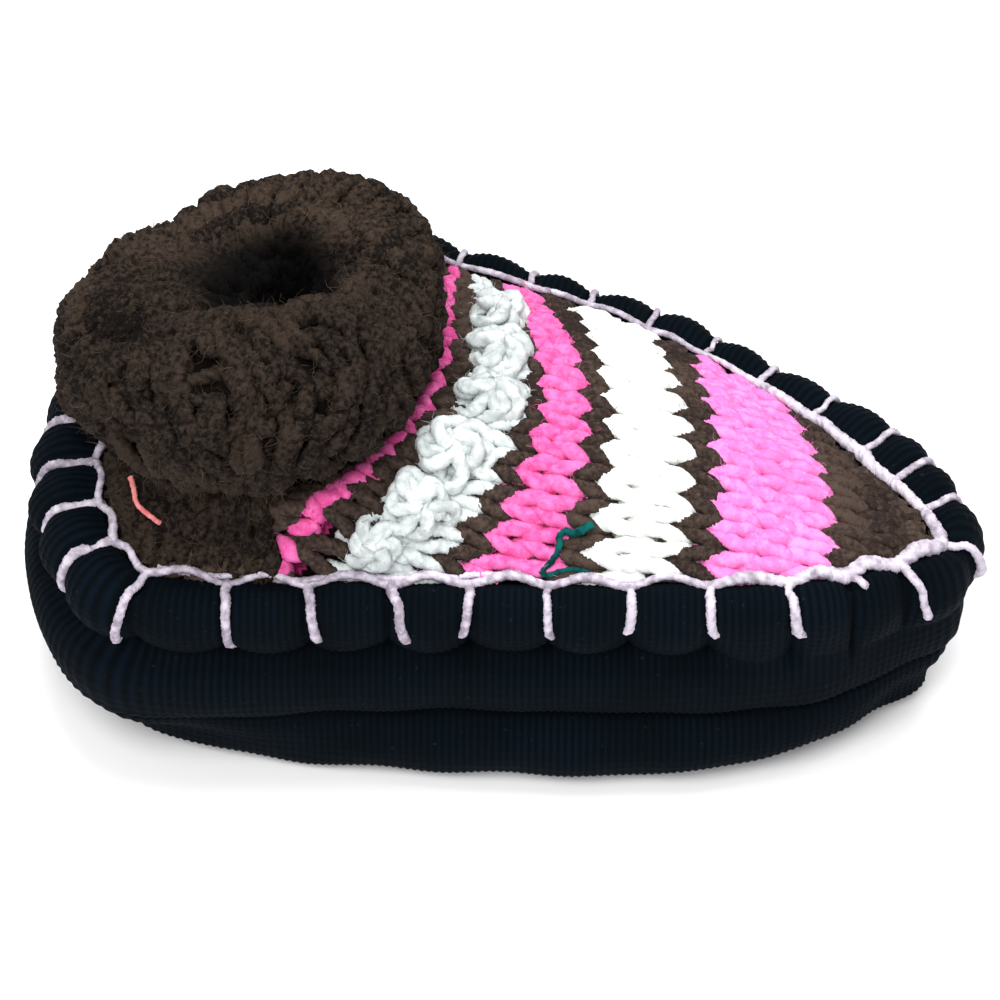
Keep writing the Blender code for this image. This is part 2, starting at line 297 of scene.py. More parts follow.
def wear(piece, finish, slot, *nodes):
    """The last steps of every piece: its material, body and the CAD nodes that it stands for; slot is not
    used.
    """
    piece.data.materials.clear()
    piece.data.materials.append(finish)
    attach(piece, "root")
    if nodes:
        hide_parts(*nodes)
    triangles = sum(len(p.vertices) - 2 for p in piece.data.polygons)
    print(f"{piece.name}: {triangles} triangles")
    return piece


# %% [markdown]
# ## Black rib knit
#
# The sole and the padded band are covered with fine black cotton rib: soft and matt, with a painted highlight
# on its ridges. The ribs run up and down the wall. They are real relief in the mesh, about one millimetre
# apart.
# The knit's tiny stitches are too small for that, so they are bump on a shader that follows the rib's own
# length.

# %% The rib knit's finish
KNIT_ROW = 0.0011


def rib_finish():
    """Cotton rib: no gloss, a dull sheen at grazing angles, near black with a blue cast."""
    made, tree, shader = finish_material(
        "black_cotton_rib", Roughness=0.9, Specular_IOR_Level=0.05,
        Sheen_Weight=0.02, Sheen_Roughness=0.5, Sheen_Tint=srgb("#24384C"),
    )
    place = put(tree, "ShaderNodeTexCoord").outputs["Object"]
    ridge = put(tree, "ShaderNodeAttribute", attribute_name="ridge").outputs["Fac"]
    run = put(tree, "ShaderNodeAttribute", attribute_name="down").outputs["Fac"]
    cloud = put(tree, NOISE, {"Vector": place, "Scale": 90.0, "Detail": 3.0})
    lint = put(tree, NOISE, {"Vector": place, "Scale": 1400.0, "Detail": 2.0})
    shade = put(tree, MATH, {0: ridge, 1: cloud}, operation="MULTIPLY")
    ramp = put(tree, "ShaderNodeValToRGB", {"Fac": shade})
    # Painted highlight: the ridges are coloured lighter than the grooves, made patchy by noise
    for stop, position, code in zip(ramp.color_ramp.elements, (0.10, 0.70), ("#02060A", "#06101A")):
        stop.position, stop.color = position, srgb(code)
    specks = put(tree, "ShaderNodeMapRange", {
        "Value": lint, "From Min": 0.70, "From Max": 0.78, "To Max": 0.30,
    })
    colour = put(tree, MIX, {0: specks, 6: ramp, 7: srgb("#2A323A")}, data_type="RGBA")
    # The knit's rows are drawn from the distance down the wall
    rows = put(tree, MATH, {0: run, 1: 2.0 * math.pi / KNIT_ROW}, operation="MULTIPLY")
    wave = put(tree, MATH, {0: rows}, operation="SINE")
    height = put(tree, MATH, {0: wave, 1: lint}, operation="MULTIPLY")
    bump = put(tree, "ShaderNodeBump", {"Strength": 0.3, "Distance": 0.00015, "Height": height})
    tree.links.new(colour.outputs[2], shader.inputs["Base Color"])
    tree.links.new(bump.outputs["Normal"], shader.inputs["Normal"])
    return made


black_rib = rib_finish()


# %% The padded band's section
PAD_HEIGHT, PAD_BULGE, PAD_SPRING = 0.0115, 0.0066, 0.0030
BAND_SEAT, BAND_BULGE = 0.0040, 0.0074
ROLL_OUT, ROLL_HEIGHT, ROLL_CROWN = 0.0070, 0.0092, 0.0011
FOLD_DEPTH, PUFF_PINCH, GAP = 0.0024, 0.0023, 0.0003
RIBS, RIB_RELIEF, LUMP_RELIEF = 285, 0.00009, 0.00022


def toeward(point):
    """From 0 behind the ball of the foot to 1 at the toe."""
    return smooth(0.12 * RIM_LENGTH, 0.42 * RIM_LENGTH, point[:, 0])


def puff(index):
    """From 0 at a stitch to 1 halfway to the next."""
    return np.abs(np.sin(np.pi * index)) ** 0.6


def band_profile(point, shares, index):
    """Closed cross-sections of the band as (outward, height) pairs, from the foot side over the roll."""
    top = point[:, 2]
    pinch = (1.0 - puff(index)) * PUFF_PINCH
    crown = ROLL_CROWN - pinch
    roll = shares[:, 0] * ROLL_OUT - pinch
    belly, seat = shares[:, 1] * BAND_BULGE, shares[:, 2] * BAND_SEAT
    fold = top - ROLL_HEIGHT
    crease = np.minimum(roll, belly) - FOLD_DEPTH * (1.0 - toeward(point))
    foot = PAD_HEIGHT + GAP
    middle = 0.5 * (fold + foot)
    nought = 0.0 * top
    return np.stack([np.stack(pair, axis=-1) for pair in (
        (nought, nought + foot),
        (nought, mix(foot, top, 0.5)),
        (nought, top - 0.13 * ROLL_HEIGHT),
        (0.22 * roll, top + 0.5 * crown),
        (0.50 * roll, top + crown),
        (0.80 * roll, top + 0.1 * crown - 0.065 * ROLL_HEIGHT),
        (0.97 * roll, top - 0.30 * ROLL_HEIGHT),
        (roll, top - 0.55 * ROLL_HEIGHT),
        (mix(crease, roll, 0.50), fold + 0.14 * ROLL_HEIGHT),
        (crease, fold),
        (mix(crease, belly, 0.75), mix(fold, middle, 0.4)),
        (belly, middle),
        (mix(seat, belly, 0.70), mix(foot, middle, 0.36)),
        (seat, nought + foot),
    )], axis=1)


def ribbed(points, amount, share, closed=True):
    """Pushes a grid out along its normals: fine ribs round the shoe, and slow lumps of the wadding."""
    normal = grid_normals(points, True, closed)
    phase = share[:, None] * 2.0 * np.pi * RIBS
    ridge = 0.5 + 0.5 * np.cos(phase)
    x, y, z = np.moveaxis(points, -1, 0) * 1000.0
    lumps = np.sin(0.21 * x + 0.9 * np.sin(0.16 * y + 0.2 * z)) * np.sin(0.33 * z + 0.14 * x + 1.3)
    lumps += 0.5 * np.sin(0.47 * x - 0.3 * z + 0.4 * y + 2.0)
    push = RIB_RELIEF * (2.0 * ridge - 1.0) * amount + LUMP_RELIEF * lumps * amount
    return points + normal * push[..., None], np.broadcast_to(ridge * amount, push.shape)


# %% [markdown]
# ## The padded band
#
# Wadding in a tube of rib knit stands on the sole and rolls over at the top. Each blanket stitch draws the
# roll in, so it puffs out between them. The section is a closed spline, swept along the seam with four
# rings to each rib.

# %% Build the padded band
rings = 4 * RIBS
share = np.arange(rings) / rings
point, outward, shares = seam_at(share)
section = band_profile(point, shares, stitch_index(share))
ROUND = 4
profile = np.stack([closed_spline(section[:, :, k].T, ROUND)[:-1].T for k in (0, 1)], axis=-1)
band_points = np.empty(profile.shape[:2] + (3,))
band_points[..., :2] = point[:, None, :2] + outward[:, None, :] * profile[..., :1]
band_points[..., 2] = profile[..., 1]
# The relief fades away on the hidden faces, before the roll's inner shoulder and after the seat
around = np.arange(profile.shape[1]) / ROUND
outside = smooth(1.6, 2.8, around) * (1.0 - smooth(12.9, 13.6, around))
band_surface, band_ridge = ribbed(band_points, outside[None, :], share)
band = mesh_from("padded_band_rib_knit", band_surface, grid_quads(rings, profile.shape[1], True, True),
                 {"ridge": band_ridge, "down": np.broadcast_to(run_along(profile[0]), band_ridge.shape)})
wear(band, black_rib, "padded_band", "padded_band")

# %% [markdown]
# ## The sole pad and the insole
#
# The pad is foam in the same rib knit, like a cushion that lies flat on the floor and rises a little at
# heel and toe. A thin dark felt insole lies on it and closes the foot room. Both are swept round the seam
# like the band.

# %% The pad's middle line and its rows
KEEL_HEEL, KEEL_TOE = (0.24, 0.47), (0.80, 0.34)
INSOLE_HEIGHT, INSOLE_RINGS = 0.0025, 320


def rim_place(along, across):
    """The plan point at shares of the seam's length and width."""
    return (np.array((along, across)) - 0.5) * (RIM_LENGTH, RIM_WIDTH) + shift


def keel_near(points):
    """The nearest point of the pad's middle line to each plan point."""
    heel, toe = rim_place(*KEEL_HEEL), rim_place(*KEEL_TOE)
    along = np.clip(((points - heel) @ (toe - heel)) / ((toe - heel) @ (toe - heel)), 0.0, 1.0)
    return heel + along[:, None] * (toe - heel)


def swept(point, outward, rows):
    """A grid of points from rows of (outward, height) pairs round the seam."""
    return np.stack([
        np.column_stack([point[:, :2] + outward * out[:, None], height]) for out, height in rows
    ], axis=1)


def endward(point):
    """From 0 under the middle of the foot to 1 at the toe and the heel."""
    return np.maximum(toeward(point), 1.0 - smooth(-0.48 * RIM_LENGTH, -0.22 * RIM_LENGTH, point[:, 0]))


def toward_keel(row, share, height):
    """A row moved inward to the pad's middle line, at a height."""
    middle = keel_near(row[:, :2])
    return np.column_stack([mix(row[:, :2], middle, share), np.full(len(row), height)])


# %% Build the sole pad
nought = 0.0 * point[:, 2]
seat, keel, rise = shares[:, 2] * BAND_SEAT, shares[:, 3] * PAD_BULGE, PAD_SPRING * endward(point)
side = swept(point, outward, (
    (seat, nought + PAD_HEIGHT),
    (mix(seat, keel, 0.40) + 0.12 * PAD_BULGE, nought + 0.82 * PAD_HEIGHT),
    (mix(seat, keel, 0.90) + 0.06 * PAD_BULGE, 0.56 * PAD_HEIGHT + 0.2 * rise),
    (0.94 * keel, 0.30 * PAD_HEIGHT + 0.5 * rise),
    (0.72 * keel, 0.10 * PAD_HEIGHT + 0.8 * rise),
    (0.30 * keel, 0.02 * PAD_HEIGHT + 0.8 * rise),
))
edge = side[:, -1]
under = [np.column_stack([mix(edge[:, :2], keel_near(edge[:, :2]), 0.14), 0.35 * edge[:, 2]])]
under += [toward_keel(edge, t, 0.0) for t in (0.32, 0.66, 1.0)]
over = [toward_keel(side[:, 0], t, PAD_HEIGHT) for t in (1.0, 0.5, 0.06)]
knots = np.stack(over + list(np.moveaxis(side, 1, 0)) + under, axis=1)


def open_spline(knots, steps):
    """Spline rows between the rows of a grid, which keeps its first and last rows."""
    padded = np.concatenate([knots[:, :1], knots, knots[:, -1:]], axis=1)
    t = np.arange(steps)[None, None, :, None] / steps
    dense = spline_span(*(padded[:, k:k + knots.shape[1] - 1, None, :] for k in range(4)), t)
    return np.concatenate([dense.reshape(len(knots), -1, 3), knots[:, -1:]], axis=1)


PAD_ROUND = 3
pad_points = open_spline(knots, PAD_ROUND)
row_number = np.arange(pad_points.shape[1]) / PAD_ROUND
shown = smooth(2.6, 3.6, row_number) * (1.0 - smooth(8.0, 9.5, row_number))
pad_surface, pad_ridge = ribbed(pad_points, shown[None, :], share, closed=False)
pad_surface[..., 2] = np.maximum(pad_surface[..., 2], 0.0)
pad = mesh_from("sole_pad_rib_knit", pad_surface, grid_quads(rings, pad_points.shape[1], True, False),
                {"ridge": pad_ridge, "down": np.broadcast_to(run_along(pad_points[0]), pad_ridge.shape)})
wear(pad, black_rib, "sole_pad", "sole_pad")

# %% Lay the insole
# Pressed wool felt: matt, charcoal, with loose fibres
dark_felt, tree, shader = finish_material(
    "charcoal_wool_felt", Base_Color=srgb("#242226"), Roughness=0.95, Sheen_Weight=0.3,
)
place = put(tree, "ShaderNodeTexCoord").outputs["Object"]
fibres = put(tree, NOISE, {"Vector": place, "Scale": 1800.0, "Detail": 4.0})
bump = put(tree, "ShaderNodeBump", {"Strength": 0.4, "Distance": 0.0003, "Height": fibres})
tree.links.new(bump.outputs["Normal"], shader.inputs["Normal"])

spot, aside, _ = seam_at(np.arange(INSOLE_RINGS) / INSOLE_RINGS)
foot, level = PAD_HEIGHT + GAP, np.zeros(INSOLE_RINGS)
brim = swept(spot, aside, (
    (level - GAP, level + foot),
    (level - GAP, level + foot + 0.7 * INSOLE_HEIGHT),
    (level - GAP - 0.5 * INSOLE_HEIGHT, level + foot + INSOLE_HEIGHT),
))
rows = [toward_keel(brim[:, 0], 1.0, foot)] + list(np.moveaxis(brim, 1, 0))
rows += [toward_keel(brim[:, 2], t, foot + INSOLE_HEIGHT) for t in (0.15, 0.4, 0.7, 1.0)]
felt_quads = grid_quads(INSOLE_RINGS, len(rows), True, False)[:, ::-1]
felt = mesh_from("insole_felt_sheet", np.stack(rows, axis=1), felt_quads)
wear(felt, dark_felt, "insole", "insole")

# %% [markdown]
# ## The upper's surface
#
# The knitting is drawn tight from the seam to the neck of the cuff, and swells a little over the instep.
# This surface is worked out for any share of the seam and any height between seam and cuff. The yarn is
# laid on it later. A thin wall of felted wool lies under the yarn, so that no light comes through the holes
# between the loops.

# %% The surface between seam and cuff
KNIT_WALL, VAMP_CROWN = 0.0026, 0.0040
CUFF_CREST, CUFF_FOLD, CUFF_NECK = 0.0137, 0.0106, 0.0063
CUFF_THROAT, CUFF_WALL, CUFF_LIFT = 0.0105, 0.0038, 0.0008
HEM_SHARE, KNIT_RIBS = 0.52, 30
THROAT_ALONG, THROAT_ACROSS, THROAT_HEIGHT = 0.230, 0.550, 0.0389
CUFF_LEAN, CUFF_TILT = math.radians(-3.9), math.radians(-12.6)
ROLL_WAVES = (
    # waves round the roll, and how much they add along the foot and across it
    (1, -0.17, -0.39), (2, -0.09, 0.10), (3, -0.07, 0.06), (4, 0.02, 0.05),
)
throat_place = Vector((*rim_place(THROAT_ALONG, THROAT_ACROSS), THROAT_HEIGHT))
throat = Matrix.Rotation(CUFF_LEAN, 4, "X") @ Matrix.Rotation(CUFF_TILT, 4, "Y")
throat = Matrix.Translation(throat_place) @ throat
throat_turn, throat_middle = np.array(throat.to_3x3()), np.array(throat_place)


def on_throat(radius, angle, height):
    """Points at a radius and angle round the tilted throat, and a height above it."""
    local = np.broadcast_arrays(radius * np.cos(angle), radius * np.sin(angle), height)
    return np.stack(local, axis=-1) @ throat_turn.T + throat_middle


def roll_size(angle):
    """Width and height of the folded cuff's roll, which sits slack and uneven round the throat."""
    bunch = sum(c * np.cos(n * angle) + d * np.sin(n * angle) for n, c, d in ROLL_WAVES)
    return CUFF_FOLD * (1.0 + bunch), CUFF_FOLD * (1.0 + 0.5 * bunch)


def hem_radius(angle):
    """How far from the throat's middle the cuff's hem lies on the upper."""
    return CUFF_CREST + HEM_SHARE * roll_size(angle)[0]


def upper_face(share, height):
    """Points of the knit's outer face at shares of the seam, and heights from seam, 0, to cuff, 1."""
    seam, outward, _ = seam_at(share)
    start = np.concatenate([seam[..., :2] - outward * GAP, seam[..., 2:] - 0.25 * KNIT_WALL], axis=-1)
    local = (start - throat_middle) @ throat_turn
    angle = np.arctan2(local[..., 1], local[..., 0])
    landing = on_throat(hem_radius(angle) + 2.0 * GAP, angle, -GAP)
    span = np.linalg.norm((landing - start)[..., :2], axis=-1)
    crown = VAMP_CROWN * smooth(0.04 * RIM_LENGTH, 0.50 * RIM_LENGTH, span)
    beyond = on_throat(CUFF_THROAT + 0.35 * CUFF_WALL, angle, -GAP)
    height = np.asarray(height)
    low = np.minimum(height, 1.0)
    face = mix(start, landing, low[..., None])
    face[..., 2] += crown * 4.0 * low * (1.0 - low)
    return mix(face, beyond, np.clip(height - 1.0, 0.0, 1.0)[..., None])


turns, levels = np.arange(360) / 360, np.concatenate([np.linspace(0.0, 1.0, 17), (1.35, 1.7, 2.0)])
face = upper_face(*np.broadcast_arrays(turns[:, None], levels[None, :]))
face_quads = grid_quads(len(turns), len(levels), True, False)
face_tree = BVHTree.FromPolygons(face.reshape(-1, 3).tolist(), face_quads.tolist())
face_normal = grid_normals(face, True, False)
if face_normal[..., 2].mean() < 0.0:
    face_normal = -face_normal
print("upper's face, points:", face.shape[:2])

# %% [markdown]
# ## Stripes and courses
#
# The vamp is knitted lengthwise: its courses run across the foot and its wales from heel to toe. The
# stripes bend with the fabric, so each course line is a smooth curve over the width. A course number counts
# from the toe.

# %% Where the courses run
CHART_ACROSS = np.array((-23, -18, -12, -4, 6, 14, 21)) / 1000.0
COURSE_LINES = (
    # course number, then millimetres toward the toe at seven places across the foot
    (3, (39.0, 40.2, 39.5, 37.8, 34.5, 31.0, 28.0)),
    (6, (25.2, 26.3, 26.2, 25.2, 24.5, 24.0, 23.0)),
    (7, (21.2, 22.6, 22.8, 22.2, 20.6, 19.2, 18.0)),
    (9, (10.8, 11.9, 12.8, 12.8, 11.3, 9.6, 8.0)),
    (10, (6.7, 9.2, 10.3, 9.9, 8.7, 6.2, 3.5)),
    (12, (-3.2, 1.0, 4.0, 4.9, 3.6, 1.5, -0.5)),
    (13, (-6.7, -2.4, 1.8, 3.1, 2.4, 0.9, -1.5)),
    (15, (-17.3, -11.5, -6.8, -4.3, -2.4, -3.0, -4.0)),
    (16, (-24.9, -16.6, -11.8, -8.2, -6.0, -5.6, -5.9)),
    (17, (-28.0, -19.2, -14.2, -10.1, -7.5, -7.0, -7.3)),
)
STRIPES = (
    # first course, yarn
    (-2, "brown"), (3, "pink"), (6, "brown"), (7, "white"), (9, "brown"), (10, "hot"), (12, "brown"),
    (13, "pale"), (15, "brown"), (16, "hot"), (17, "brown"),
)
line_curves = [
    (number, np.polyfit(CHART_ACROSS, np.array(line) / 1000.0, 3)) for number, line in COURSE_LINES
]
CHART_NEAR, CHART_FAR = -0.0235, 0.0215
# How far courses 0 and 20 lie from the chart's first and last lines
TOE_MARGIN, HEEL_MARGIN = 0.0135, 0.0132
FIRST_COURSE, LAST_COURSE = -2.0, 22.0
print("course lines:", len(COURSE_LINES), "stripes:", len(STRIPES))


def course_place(number, across):
    """How far toward the toe a course number lies, at a place across the foot."""
    near = np.clip(across, CHART_NEAR, CHART_FAR)
    over = np.clip(across - near, -0.090, 0.070)
    # Beyond the chart the lines run on straight
    lines = np.stack([
        np.polyval(curve, near) + over * np.polyval(np.polyder(curve), near) for _, curve in line_curves
    ], axis=0)
    table = np.concatenate([lines[:1] + TOE_MARGIN, lines, lines[-1:] - HEEL_MARGIN], axis=0)
    numbers = np.array([0] + [n for n, _ in line_curves] + [20], float)
    number = np.clip(number, FIRST_COURSE, LAST_COURSE)
    slot = np.clip(np.searchsorted(numbers, number, side="right") - 1, 0, len(numbers) - 2)
    t = (number - numbers[slot]) / (numbers[slot + 1] - numbers[slot])
    column = np.arange(len(across))
    return mix(table[slot, column], table[slot + 1, column], t)


def yarn_of(course):
    """The yarn of the stripe that a course belongs to."""
    return [yarn for first, yarn in STRIPES if first <= course][-1]


def drop_on_face(plan):
    """Height and normal of the upper's face over plan points, and whether the face is there."""
    height, found = np.zeros(len(plan)), np.zeros(len(plan), bool)
    normal = np.zeros((len(plan), 3))
    for k, (x, y) in enumerate(plan):
        spot, facing, _, _ = face_tree.ray_cast(Vector((x, y, 0.2)), Vector((0.0, 0.0, -1.0)))
        if spot is not None:
            height[k], found[k] = spot.z, True
            normal[k] = facing if facing.z > 0.0 else -facing
    return height, normal, found


# %% [markdown]
# ## A loop of yarn
#
# One stitch of stocking knit is a loop shaped like an omega. Its two legs come forward side by side, and
# its head and foot go behind the neighbours. Three sine waves make that path: one across, one along the
# wale, one in depth. Every strand of the slipper is such a path, laid on a surface, so the loops truly pass
# through each other.

# %% Loop paths
LOOP_POINTS = 20


def loop_row(first, last, lean=0.20, reach=0.90, squeeze=0.0):
    """A course of loops: places across in wales and along in courses, and depth from -1 to 1."""
    t = np.arange(int((last - first) * LOOP_POINTS) + 1) / LOOP_POINTS * 2.0 * np.pi
    across = first + t / (2.0 * np.pi) + lean * np.sin(2.0 * t) + squeeze * np.sin(t)
    return across, -reach * np.cos(t), -np.cos(2.0 * t)


def jitter(count, seed, size, length=6):
    """Slow random wander along a strand, always the same for a seed."""
    knots = np.random.default_rng(seed + 1000).normal(0.0, size, count // length + 3)
    return np.interp(np.arange(count) / length, np.arange(len(knots)), knots)


def runs(keep):
    """Slices of the stretches where keep is true."""
    edges = np.flatnonzero(np.diff(np.concatenate([[0], keep.astype(int), [0]])))
    return [slice(a, b) for a, b in zip(edges[::2], edges[1::2]) if b - a > 4]


# %% The vamp's loops
WALE, YARN_REST, LOOP_DEPTH = 0.0043, -0.00100, 0.00070
STRAIGHT_COURSE, PINK_LINE = 8, 16
vamp = {"brown": [], "pink": [], "hot": [], "white": [], "pale": []}


def inside_seam(plan):
    """True where a plan point lies inside the seam, by the crossings rule, and its distance from the seam."""
    a = seam_line[:-1:6, :2]
    b = np.roll(a, -1, axis=0)
    x, y = plan[:, :1], plan[:, 1:2]
    crosses = (a[:, 1] > y) != (b[:, 1] > y)
    with np.errstate(divide="ignore", invalid="ignore"):
        where = a[:, 0] + (y - a[:, 1]) * (b[:, 0] - a[:, 0]) / (b[:, 1] - a[:, 1])
    away = np.sqrt(((plan[:, None, :] - a[None]) ** 2).sum(axis=-1).min(axis=1))
    return (crosses & (x < where)).sum(axis=1) % 2 == 1, away


# %% Where the wales run
# Stitches are equally wide along every course, counted from a middle wale that drifts outward toward the heel
SAMPLES, RISE_ALONG, WALE_DRIFT = 91, 0.010, 0.0004
across = np.linspace(-0.0275, 0.0235, SAMPLES)
rise, _, found = drop_on_face(np.column_stack([np.full(SAMPLES, RISE_ALONG), across]))
rise = np.interp(across, across[found], rise[found])
STEP, WALE_PARTS = 0.25, 10
wale_numbers = np.arange(-12 * WALE_PARTS, 11 * WALE_PARTS + 1) / WALE_PARTS
course_numbers = np.arange(-2.0, 21.0 + STEP, STEP)
wale_y = np.zeros((len(course_numbers), len(wale_numbers)))
for k, number in enumerate(course_numbers):
    walk = run_along(np.column_stack([across, course_place(np.full(SAMPLES, number), across), rise]))
    run = wale_numbers * WALE + np.interp(WALE_DRIFT * (number - STRAIGHT_COURSE), across, walk)
    wale_y[k] = np.interp(run, walk, across) + 0.7 * (np.minimum(run, 0.0) + np.maximum(run - walk[-1], 0.0))


def vamp_place(wale, course):
    """Plan points of wale and course numbers, which may lie between two."""
    r = np.clip((course - course_numbers[0]) / STEP, 0, len(course_numbers) - 1.001)
    c = np.clip((wale - wale_numbers[0]) * WALE_PARTS, 0, len(wale_numbers) - 1.001)
    i, j = r.astype(int), c.astype(int)
    u, v = r - i, c - j
    y = mix(mix(wale_y[i, j], wale_y[i + 1, j], u), mix(wale_y[i, j + 1], wale_y[i + 1, j + 1], u), v)
    return np.column_stack([course_place(course, y), y])


# %% Lay the vamp's courses
NEAR_WALE, FAR_WALE = -11.5, 10.5
UNDER_CUFF, SEAM_LIFT = 0.0025, 0.0006
for course in range(-2, 20):
    across, along, depth = loop_row(NEAR_WALE, FAR_WALE, reach=0.62 if course == PINK_LINE else 0.90)
    count = len(across)
    across = across + jitter(count, course, 0.03)
    plan = vamp_place(across, course + 0.5 - along + jitter(count, 50 + course, 0.04))
    height, normal, found = drop_on_face(plan)
    local = (np.column_stack([plan, height]) - throat_middle) @ throat_turn
    clear = np.hypot(local[:, 0], local[:, 1]) - hem_radius(np.arctan2(local[:, 1], local[:, 0]))
    inside, away = inside_seam(plan)
    keep = found & inside & (clear > -UNDER_CUFF)
    centre = YARN_REST + LOOP_DEPTH * depth + SEAM_LIFT * (1.0 - smooth(0.001, 0.005, away))
    path = np.column_stack([plan, height]) + normal * centre[:, None]
    for stretch in runs(keep):
        vamp[yarn_of(course)].append(path[stretch])
print("vamp strands:", {yarn: len(strands) for yarn, strands in vamp.items()})

# %% [markdown]
# ## Bobbles
#
# The pale stripe nearest the cuff carries a row of bobbles, each a cluster of loops worked into one stitch.
# Here a cluster is seven loops of yarn that spread like petals over a low dome, all a little uneven, as
# wool curls.

# %% Lay the bobbles
BOBBLES = (
    # along and across the foot in millimetres, then the length of a petal
    (-15.2, -22.2, 4.2), (-10.2, -18.8, 5.3), (-5.6, -12.8, 5.3),
    (-1.6, -5.6, 5.2), (0.2, 2.4, 4.8), (-0.4, 10.0, 4.0),
)
PETALS, PETAL_POINTS, PETAL_TURN = 7, 22, 0.9
DOME_MM, DOME_SUNK = 2.4, 0.0006
spots = np.array([(x, y) for x, y, _ in BOBBLES]) / 1000.0
height, normal, _ = drop_on_face(spots)
for k, (_, _, reach) in enumerate(BOBBLES):
    random = np.random.default_rng(70 + k)
    dome_turn = np.array(Vector(normal[k]).to_track_quat("Z", "Y").to_matrix())
    base = np.array((*spots[k], height[k])) - normal[k] * DOME_SUNK
    for petal in range(PETALS):
        t = np.linspace(0.02, 0.98, PETAL_POINTS)
        length, width = reach * random.uniform(0.6, 1.0), random.uniform(1.2, 1.9)
        out = length * np.sin(np.pi * t) ** 0.8
        side = width * np.sin(2.0 * np.pi * t)
        dome = DOME_MM * (1.0 - (out / reach) ** 2)
        lift = dome + random.uniform(-0.4, 0.8) + 0.6 * np.sin(2.0 * np.pi * t)
        curl = [jitter(PETAL_POINTS, 900 + 10 * k + petal + 100 * axis, 0.18, 5) for axis in range(3)]
        local = np.stack([out - 0.6, side, lift], axis=1) + np.column_stack(curl)
        turned = np.array(Matrix.Rotation(petal * PETAL_TURN + random.uniform(-0.45, 0.45), 3, "Z"))
        vamp["pale"].append(base + (local / 1000.0 @ turned.T) @ dome_turn.T)
print("bobbles:", len(BOBBLES), "of", PETALS, "loops")

# %% [markdown]
# ## Yarn by Geometry Nodes
#
# A strand starts as a bare line of points. The node tree makes it a curve, spaces its points evenly, and
# sweeps a section of three soft lobes along it. The section turns as it goes, so that the lobes become
# three plies twisted round each other. Each piece sets its own thickness, spacing and twist. The result is
# then made a plain mesh.

# %% The yarn tree
def tree_with(name, sockets):
    """A Geometry Nodes tree with named inputs, its input sockets and its output node."""
    tree = bpy.data.node_groups.new(name, "GeometryNodeTree")
    tree.interface.new_socket(name="Geometry", in_out="INPUT", socket_type="NodeSocketGeometry")
    for label, kind in sockets.items():
        tree.interface.new_socket(name=label, in_out="INPUT", socket_type="NodeSocket" + kind)
    tree.interface.new_socket(name="Geometry", in_out="OUTPUT", socket_type="NodeSocketGeometry")
    return tree, put(tree, "NodeGroupInput").outputs, put(tree, "NodeGroupOutput")


def end_tree(tree, given, result, shape):
    """The end of every tree: real geometry in the piece's own material."""
    real = put(tree, "GeometryNodeRealizeInstances", {"Geometry": shape})
    dressed = put(tree, "GeometryNodeSetMaterial", {"Geometry": real, "Material": given["Material"]})
    tree.links.new(dressed.outputs["Geometry"], result.inputs["Geometry"])
    return tree


def yarn_tree():
    """A strand of three plies along each line of points."""
    tree, given, result = tree_with("spun_yarn", {
        "Radius": "Float", "Spacing": "Float", "Twist": "Float",
        "Lobes": "Float", "Sides": "Int", "Material": "Material",
    })
    line = put(tree, "GeometryNodeMeshToCurve", {"Mesh": given["Geometry"]})
    even = put(tree, "GeometryNodeResampleCurve", {"Curve": line, "Length": given["Spacing"]}, mode="LENGTH")
    level = put(tree, "GeometryNodeSetCurveNormal", {"Curve": even}, mode="MINIMUM_TWIST")
    run = put(tree, "GeometryNodeSplineParameter").outputs["Length"]
    twist = put(tree, MATH, {0: run, 1: given["Twist"]}, operation="MULTIPLY")
    turned = put(tree, "GeometryNodeSetCurveTilt", {"Curve": level, "Tilt": twist})
    # The section is a circle whose radius swells three times round it
    sides, radius = given["Sides"], given["Radius"]
    circle = put(tree, "GeometryNodeCurvePrimitiveCircle", {"Resolution": sides, "Radius": radius})
    number = put(tree, "GeometryNodeInputIndex")
    part = put(tree, MATH, {0: number, 1: sides}, operation="DIVIDE")
    angle = put(tree, MATH, {0: part, 1: 6.0 * math.pi}, operation="MULTIPLY")
    wave = put(tree, MATH, {0: angle}, operation="COSINE")
    swell = put(tree, MATH, {0: wave, 1: given["Lobes"], 2: 1.0}, operation="MULTIPLY_ADD")
    where = put(tree, "GeometryNodeInputPosition")
    moved = put(tree, "ShaderNodeVectorMath", {0: where, "Scale": swell}, operation="SCALE")
    lobed = put(tree, "GeometryNodeSetPosition", {"Geometry": circle, "Position": moved})
    thick = put(tree, "GeometryNodeInputNamedAttribute", {"Name": "thick"}, data_type="FLOAT")
    tube = put(tree, "GeometryNodeCurveToMesh", {
        "Curve": turned, "Profile Curve": lobed, "Scale": thick, "Fill Caps": True,
    })
    return end_tree(tree, given, result, put(tree, "GeometryNodeSetShadeSmooth", {"Geometry": tube}))


spun_yarn = yarn_tree()
print("yarn tree, nodes:", len(spun_yarn.nodes))


# %% From strands to a piece
def grow(piece, tree, values):
    """Runs a node tree on a piece with the values given, and makes the result its plain mesh."""
    modifier = piece.modifiers.new(tree.name, "NODES")
    modifier.node_group = tree
    for item in tree.interface.items_tree:
        if item.in_out == "INPUT" and item.name in values:
            modifier[item.identifier] = values[item.name]
    bpy.context.view_layer.update()
    graph = bpy.context.evaluated_depsgraph_get()
    grown = piece.evaluated_get(graph)
    mesh = bpy.data.meshes.new_from_object(grown, preserve_all_data_layers=True, depsgraph=graph)
    piece.modifiers.clear()
    piece.data = mesh
    return piece


